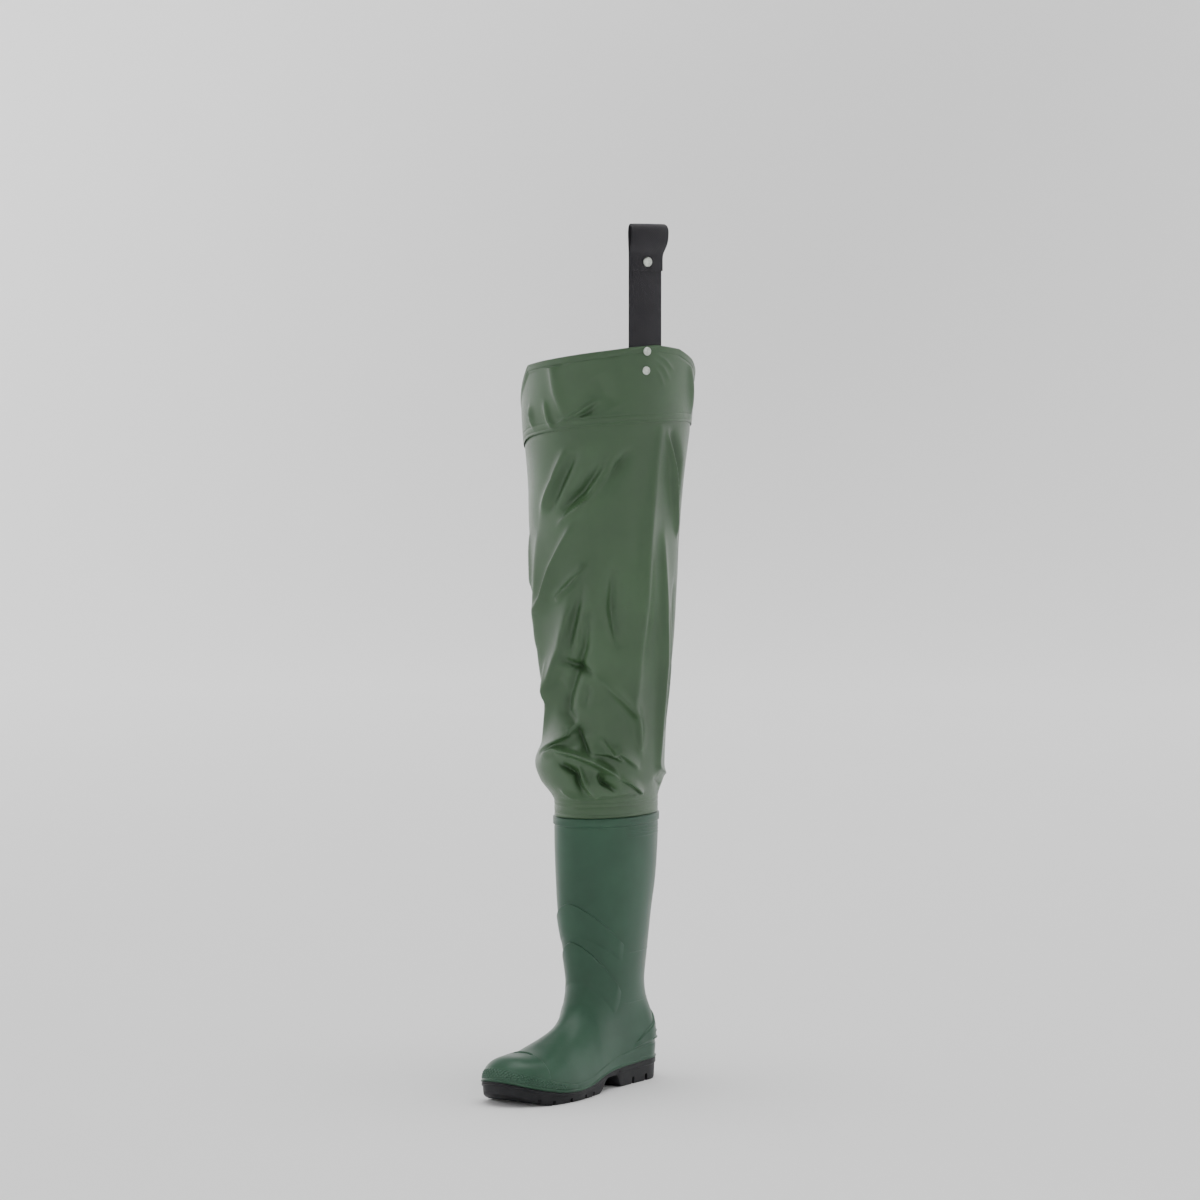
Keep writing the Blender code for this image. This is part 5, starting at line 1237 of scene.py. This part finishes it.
class StrapForm:
    """The belt strap's path, and the places of its snap and rivets on the thigh panel."""

    def __init__(self, sizes):
        self.sizes = sizes
        self.leg = LegForm(sizes)
        first = sizes.rim_height - RIVET_BELOW_RIM
        self.rivets = (first, first - RIVET_SPACING)
        self.start = sizes.rim_height + sizes.strap_rise - 0.5 * sizes.strap_thickness - sizes.loop_height
        self.snap = self.start - FLAP_LENGTH + FLAP_BELOW_SNAP
        self.flap = sizes.strap_thickness + 0.35 * MM

    def wall(self, height, across=0.0):
        """A point of the panel's inner face at the strap, moved round by a length, with its level normal."""
        fine = self.leg.point(np.full(361, height), np.linspace(1e-4, math.pi, 361))
        ring = self.leg.point(np.full(36, height), np.linspace(0, 2 * math.pi, 36, endpoint=False))
        middle = 0.5 * (ring.max(axis=0) + ring.min(axis=0))
        found = np.arctan2(fine[:, 1] - middle[1], fine[:, 0] - middle[0])
        target = math.radians(STRAP_ANGLE) + across / (0.5 * self.sizes.thigh_width)
        order = np.argsort(found)
        places = [
            np.array([np.interp(at, found[order], fine[order, k]) for k in range(3)])
            for at in (target, target + 0.02)
        ]
        along = places[1] - places[0]
        normal = np.array([along[1], -along[0], 0])
        normal /= np.linalg.norm(normal)
        return places[0] + normal * (self.sizes.fabric + CLEARANCE), normal

    def path(self):
        """(distance out, height) along the strap's middle, from its tail to the flap's end."""
        sizes, start, flap = self.sizes, self.start, self.flap
        top = start + sizes.loop_height
        gap = sizes.loop_gap + sizes.strap_thickness
        radius = 0.5 * gap
        low = sizes.rim_height - STRAP_TAIL
        path = [(0, z) for z in (low, self.rivets[1], self.rivets[0], sizes.rim_height)]
        path += [(0, 0.5 * (sizes.rim_height + start)), (0, start)]
        path += [(-0.04 * gap, start + 7 * MM), (-0.13 * gap, start + 16 * MM)]
        middle = 0.5 * gap - 0.18 * gap
        for turn in np.radians(np.linspace(180, 0, 11)):
            path.append((middle + radius * math.cos(turn), top - radius + radius * math.sin(turn)))
        path += [(middle + 0.86 * radius, start + 17 * MM), (0.47 * gap, start + 8 * MM)]
        path.append((0.5 * flap + 0.13 * gap, start + 2.5 * MM))
        path += [(flap, start - share * FLAP_LENGTH) for share in (0, 0.5, 1)]
        return np.array(path)

    def fine_path(self, step):
        """The path with even short steps, its corners eased."""
        path = self.path()
        length = np.r_[0, np.cumsum(np.linalg.norm(np.diff(path, axis=0), axis=1))]
        even = np.linspace(0, length[-1], int(length[-1] / step))
        fine = np.stack([np.interp(even, length, path[:, k]) for k in range(2)], axis=1)
        for _ in range(12):
            fine[1:-1] = 0.25 * fine[:-2] + 0.5 * fine[1:-1] + 0.25 * fine[2:]
        return fine, even

    def mesh(self, name):
        sizes = self.sizes
        path, along = self.fine_path(1.4 * MM)
        tangent = np.gradient(path, axis=0)
        tangent /= np.linalg.norm(tangent, axis=1, keepdims=True)
        sideways = np.stack([tangent[:, 1], -tangent[:, 0]], axis=1)
        inward = 0.5 * sizes.strap_thickness + STRAP_CLEARANCE
        edge = np.array((0.0, 0.004, 0.012, 0.025, 0.045, 0.07, 0.10, 0.15, 0.22, 0.30, 0.38, 0.46))
        half_across = np.concatenate([edge, [0.5], 1 - edge[::-1]]) - 0.5
        thick = np.minimum(1, (1 - (2 * np.abs(half_across)) ** 40)) ** 0.5
        selvage = 1 - 0.22 * np.exp(-(((0.5 - np.abs(half_across)) - 0.055) / 0.018) ** 2)
        rings, uv = [], []
        frames = {}
        for (out, height), (side_out, side_up), length in zip(path, sideways, along):
            at = round(min(height, sizes.rim_height), 4)
            if at not in frames:
                frames[at] = [self.wall(at, a * sizes.strap_width) for a in half_across]
            section = []
            for sign in (1, -1):
                side = []
                for k, (point, normal) in enumerate(frames[at]):
                    half = 0.5 * sizes.strap_thickness * thick[k] * selvage[k]
                    place = point + normal * (out - inward + sign * half * side_out)
                    side.append((place[0], place[1], height + sign * half * side_up))
                    uv.append((half_across[k] * sizes.strap_width, length))
                section += side if sign == 1 else side[::-1]
            rings.append(section)
        rings = np.array(rings)
        rows, columns = rings.shape[:2]
        faces = ring_faces(rows, columns)
        faces += [tuple(range(columns)), tuple(range((rows - 1) * columns, rows * columns))]
        return build_object(name, rings.reshape(-1, 3), faces, smooth_angle=50, uv=uv)

    def turned(self, name, profile, height, segments=96):
        """A turned solid on the strap's outward axis, from radii and distances out of the panel's inside."""
        centre, normal = self.wall(min(height, self.sizes.rim_height))
        up = np.array([0, 0, 1.0])
        side = np.cross(up, normal)
        centre = np.array([centre[0], centre[1], height])
        turn = np.linspace(0, 2 * math.pi, segments, endpoint=False)[:, None]
        around = np.cos(turn) * side + np.sin(turn) * up
        rings = [centre + normal * out + radius * around for radius, out in profile]
        faces = ring_faces(len(rings), segments)
        faces += [tuple(range(segments)), tuple(range((len(rings) - 1) * segments, len(rings) * segments))]
        return build_object(name, np.concatenate(rings), faces, smooth_angle=35)


def cap_profile(radius, rise, dimple, outside, inside):
    """Profile of a cap with a ring and a dimple, its post, and a washer inside the strap."""
    under, washer = outside + CLEARANCE, inside - CLEARANCE
    top = under + rise
    tip = 0.05 * radius
    profile = [(tip, top - dimple)]
    profile += [(share * radius, top + drop * dimple) for share, drop in CAP_DIMPLE]
    profile += [(share * radius, top + drop * rise) for share, drop in CAP_RING]
    profile += [(0.99 * radius, under), (POST_RADIUS, under), (POST_RADIUS, washer)]
    profile += [(0.83 * radius, washer), (0.85 * radius, washer - 0.3 * MM)]
    profile += [(0.80 * radius, washer - 0.8 * MM), (tip, washer - 0.8 * MM)]
    return profile


class WADER_OT_boot(bpy.types.Operator):
    """Build the moulded boot with its welt, foxing, shields, toe cap, counter and collar"""

    bl_idname = "wader.boot"
    bl_label = "Boot"

    def execute(self, context):
        sizes = context.scene.wader_sizes
        clear_piece("boot")
        clear_piece("boot_relief")
        wall = BootWall(sizes, half_count=200, rows_per_ring=7)
        outer = wall.grid + wall.normals * wall.steps
        kept = np.r_[np.arange(0, wall.last, INNER_EVERY), np.arange(wall.last, len(wall.grid))]
        inset = np.where(kept >= len(wall.grid) - 4, NECK_INSET, 0)[:, None, None]
        inner = wall.grid[kept] - wall.normals[kept] * (sizes.boot_wall + inset)
        boot = closed_wall("boot", outer, inner)
        green = moulded_pvc(
            "boot_pvc", context.scene.wader_colours.boot,
            dusty=0.08, patch=10.0, roughness=0.33, grain_depth=0.12 * MM,
        )
        place_piece(boot, green, "green_pvc", "upper")
        points, faces = [], []
        for grid in boot_reliefs(wall):
            faces += sheet_faces(grid.shape[0], grid.shape[1], sum(len(p) for p in points))
            points.append(grid.reshape(-1, 3))
        relief = build_object("boot_relief", np.concatenate(points), faces)
        place_piece(relief, green, "green_pvc")
        return {"FINISHED"}


class WADER_OT_sole(bpy.types.Operator):
    """Build the black sole with its grooves, and give the insole its felt"""

    bl_idname = "wader.sole"
    bl_label = "Sole and Insole"

    def execute(self, context):
        sizes = context.scene.wader_sizes
        clear_piece("sole")
        form = SoleForm(sizes)
        sole = form.mesh("sole")
        for share in FOREFOOT_GROOVES:
            cut_away(sole, form.groove(share * sizes.foot_length, LUG_GROOVE, LUG_DEPTH, LUG_CHEVRON))
        for share in HEEL_GROOVES:
            cut_away(sole, form.groove(share * sizes.foot_length, HEEL_GROOVE, HEEL_LUG_DEPTH, 0))
        bevel = sole.modifiers.new("Soft edges", "BEVEL")
        bevel.width = SOLE_BEVEL
        bevel.segments = 2
        bevel.limit_method = "ANGLE"
        bevel.angle_limit = math.radians(50)
        keep_modifiers(sole)
        black = moulded_pvc(
            "sole_pvc", context.scene.wader_colours.sole,
            dusty=0.14, patch=24.0, roughness=0.46, grain_depth=0.15 * MM,
        )
        place_piece(sole, black, "black_pvc", "outsole")
        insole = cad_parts["insole"]
        insole.data.materials.clear()
        insole.data.materials.append(felt("insole_felt", context.scene.wader_colours.insole))
        return {"FINISHED"}


class WADER_OT_leg(bpy.types.Operator):
    """Build the creased fabric leg with its welded band at the boot"""

    bl_idname = "wader.leg"
    bl_label = "Fabric Leg"

    def execute(self, context):
        sizes = context.scene.wader_sizes
        clear_piece("leg_fabric")
        form = LegForm(sizes)
        turn, angle = form.angles(CLOTH_COLUMNS)
        band = np.array(BAND_PROFILE)
        seam = form.seam(angle)
        above = form.bottom + 1.06 * JOINT_BAND_HEIGHT
        shares = np.interp(np.linspace(0, 1, LEG_ROWS), (0, 0.36, 1), (0, 0.2, 1))[:, None]
        heights = np.concatenate([
            form.bottom + band[:, :1] * JOINT_BAND_HEIGHT + 0 * seam,
            above + shares * (seam + 0.6 * MM - above),
            seam + np.array([[0.35], [0.7], [1.0]]) * form.lap(angle),
        ])
        steps = np.concatenate([band[:, 1], np.zeros(len(heights) - len(band))])[:, None] * MM
        base = form.point(heights, np.broadcast_to(turn, heights.shape))
        normals = outward(base)
        free = smoothstep(above, above + 12 * MM, heights) * (1 - smoothstep(-8 * MM, 0, heights - seam))
        moved = form.creases(base, LEG_CREASES, *LEG_CREASE_FACTORS)
        moved += form.creases(base, FOLD_CREASES, *FOLD_CREASE_FACTORS) + form.creases(base, BACK_SEAM)
        moved = (moved + form.slack(base)) * free
        droop = -DROOP * np.maximum(moved, 0) * free * (1 - smoothstep(*DROOP_FADES, heights))
        outer = base + normals * (sizes.fabric + steps + moved)[..., None]
        outer[..., 2] += droop
        lowest = np.minimum.reduce([np.roll(moved, k, axis=0) for k in range(-8, 9, 2)])
        kept = np.unique(np.r_[np.arange(0, len(heights), INNER_EVERY), len(heights) - 1])
        inner = (base + normals * np.minimum(lowest, 0)[..., None])[kept]
        width, depth, _, _, _ = form.section(heights)
        around = turn * 0.5 * (width + depth).mean() + 0 * heights
        uv = np.stack([around, heights], axis=-1).reshape(-1, 2)
        leg = closed_wall("leg_fabric", outer, inner, uv)
        cloth = coated_cloth("leg_cloth", context.scene.wader_colours.fabric, CLOTH_THREADS, CLOTH_BUMP)
        place_piece(leg, cloth, "olive_fabric", "leg")
        return {"FINISHED"}


class WADER_OT_thigh_panel(bpy.types.Operator):
    """Build the thigh panel with its welded lower edge and rolled top edge"""

    bl_idname = "wader.thigh_panel"
    bl_label = "Thigh Panel"

    def execute(self, context):
        sizes = context.scene.wader_sizes
        clear_piece("thigh_panel_fabric")
        form = LegForm(sizes)
        turn, angle = form.angles(CLOTH_COLUMNS)
        seam, rim, lap = form.seam(angle), form.rim(angle), form.lap(angle)
        hem = rim - np.minimum(HEM_HEIGHT, 0.3 * (rim - seam))
        rows, steps = [], []
        for share, step in PANEL_LIP:
            rows.append(seam + 0.3 * MM + share * lap)
            steps.append(step)
        low = rows[-1]
        for share in np.linspace(0, 1, PANEL_ROWS)[1:-1]:
            rows.append(low + share * (hem - low))
            steps.append(0)
        for share, step in PANEL_HEM:
            rows.append(hem + share * (rim - hem))
            steps.append(step)
        heights, steps = np.array(rows), np.array(steps)[:, None] * MM
        base = form.point(heights, np.broadcast_to(turn, heights.shape))
        normals = outward(base)
        free = 1 - smoothstep(-3 * MM, 0, heights - hem)
        strap = np.exp(-(((angle - STRAP_ANGLE) / 20) ** 2)) * smoothstep(-55 * MM, -40 * MM, heights - rim)
        moved = (form.creases(base, PANEL_CREASES) + form.slack(base)) * free * (1 - strap)
        laid = 1 - smoothstep(0, 6 * MM, heights - seam - lap)
        moved = np.where(moved < 0, moved * (1 - laid), moved) + form.creases(base, STRAP_CREASES) * free
        inner = base + normals * (sizes.fabric + CLEARANCE + moved)[..., None]
        outer = inner + normals * (sizes.fabric + steps)[..., None]
        uv = np.stack([turn * 0.5 * sizes.thigh_width + 0 * heights, heights], axis=-1).reshape(-1, 2)
        panel = closed_wall("thigh_panel_fabric", outer, inner, uv)
        cloth = coated_cloth("panel_cloth", context.scene.wader_colours.fabric, CLOTH_THREADS, CLOTH_BUMP)
        place_piece(panel, cloth, "olive_fabric", "thigh_panel")
        return {"FINISHED"}


class WADER_OT_strap(bpy.types.Operator):
    """Build the belt strap with its snapped loop"""

    bl_idname = "wader.strap"
    bl_label = "Belt Strap"

    def execute(self, context):
        clear_piece("strap")
        strap = StrapForm(context.scene.wader_sizes).mesh("strap")
        charcoal = webbing("strap_webbing", context.scene.wader_colours.strap)
        place_piece(strap, charcoal, "charcoal_strap", "belt_strap")
        return {"FINISHED"}


class WADER_OT_fasteners(bpy.types.Operator):
    """Build the snap and the two rivets"""

    bl_idname = "wader.fasteners"
    bl_label = "Snap and Rivets"

    def execute(self, context):
        sizes = context.scene.wader_sizes
        form = StrapForm(sizes)
        metal = plated_metal("plating", context.scene.wader_colours.metal)
        inside = -(STRAP_CLEARANCE + sizes.strap_thickness)
        upper, lower = form.rivets
        rows = (
            ("snap", "loop_snap", form.snap, SNAP_CAP, form.flap - STRAP_CLEARANCE),
            ("rivet_upper_cap", "rivet_upper", upper, UPPER_RIVET_CAP, sizes.fabric + 0.8 * MM),
            ("rivet_lower_cap", "rivet_lower", lower, LOWER_RIVET_CAP, sizes.fabric),
        )
        for name, node, height, cap, outside in rows:
            clear_piece(name)
            profile = cap_profile(*cap, outside, inside)
            place_piece(form.turned(name, profile, height), metal, "nickel", node)
        return {"FINISHED"}


class WADER_OT_studio(bpy.types.Operator):
    """Set up the pale floor, the soft lights and the camera"""

    bl_idname = "wader.studio"
    bl_label = "Studio"

    def execute(self, context):
        for name in ("floor", "key_light", "fill_light", "top_light", "camera"):
            clear_piece(name)
        rings = [(radius, 0.0) for radius in FLOOR_RADII]
        for t in np.linspace(0.1, math.pi / 2, 12):
            rings.append((FLOOR_RADII[-1] + FLOOR_SWEEP * math.sin(t), FLOOR_SWEEP * (1 - math.cos(t))))
        rings.append((FLOOR_RADII[-1] + FLOOR_SWEEP, 6.0))
        turn = np.linspace(0, 2 * math.pi, 96, endpoint=False)
        points = [(r * math.cos(t), r * math.sin(t), z) for r, z in rings for t in turn]
        floor = build_object("floor", points, ring_faces(len(rings), 96) + [tuple(range(96))])
        floor.data.materials.append(studio_paint("floor_paint", context.scene.wader_colours.floor))
        world = bpy.data.worlds.get("studio_air") or bpy.data.worlds.new("studio_air")
        world.use_nodes = True
        air = world.node_tree.nodes["Background"].inputs
        air["Color"].default_value = (1, 1, 1, 1)
        air["Strength"].default_value = AIR_STRENGTH
        context.scene.world = world
        for name, place, angle, power in STUDIO_LIGHTS:
            lamp = bpy.data.lights.new(name, "SUN")
            lamp.angle = math.radians(angle)
            lamp.energy = power
            made = bpy.data.objects.new(name, lamp)
            context.scene.collection.objects.link(made)
            made.location = place
            way = Vector(LIGHTS_AIM) - made.location
            made.rotation_euler = way.to_track_quat("-Z", "Y").to_euler()
        lens = bpy.data.cameras.new("camera")
        camera = bpy.data.objects.new("camera", lens)
        context.scene.collection.objects.link(camera)
        azimuth = math.radians(CAMERA_AZIMUTH)
        middle = Vector(CAMERA_TARGET)
        level = Vector((math.sin(azimuth), -math.cos(azimuth), 0)) * CAMERA_DISTANCE
        camera.location = middle + level
        camera.location.z = CAMERA_HEIGHT
        camera.rotation_euler = (middle - camera.location).to_track_quat("-Z", "Y").to_euler()
        lens.sensor_width = SENSOR_WIDTH
        lens.lens = SENSOR_WIDTH * CAMERA_DISTANCE / CAMERA_FIELD
        lens.clip_start, lens.clip_end = 0.1, 60
        context.scene.camera = camera
        return {"FINISHED"}


class WADER_PT_parts(bpy.types.Panel):
    """Builds the wader's parts from its sizes and colours"""

    bl_idname = "WADER_PT_parts"
    bl_label = "Hip Wader"
    bl_space_type = "VIEW_3D"
    bl_region_type = "UI"
    bl_category = "Wader"

    def draw(self, context):
        for group in (context.scene.wader_sizes, context.scene.wader_colours):
            column = self.layout.column(align=True)
            for key in group.bl_rna.properties.keys():
                if key not in ("name", "rna_type"):
                    column.prop(group, key)
        for operator in OPERATORS:
            self.layout.operator(operator.bl_idname)


OPERATORS = (
    WADER_OT_boot, WADER_OT_sole, WADER_OT_leg, WADER_OT_thigh_panel, WADER_OT_strap, WADER_OT_fasteners,
    WADER_OT_studio,
)
CLASSES = (WaderSizes, WaderColours, *OPERATORS, WADER_PT_parts)


def register():
    for kind in CLASSES:
        bpy.utils.register_class(kind)
    bpy.types.Scene.wader_sizes = PointerProperty(type=WaderSizes)
    bpy.types.Scene.wader_colours = PointerProperty(type=WaderColours)


def unregister():
    del bpy.types.Scene.wader_sizes
    del bpy.types.Scene.wader_colours
    for kind in reversed(CLASSES):
        bpy.utils.unregister_class(kind)


def main():
    register()
    bpy.ops.wader.boot()
    bpy.ops.wader.sole()
    bpy.ops.wader.leg()
    bpy.ops.wader.thigh_panel()
    bpy.ops.wader.strap()
    bpy.ops.wader.fasteners()
    bpy.ops.wader.studio()
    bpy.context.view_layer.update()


if __name__ == "__main__":
    main()
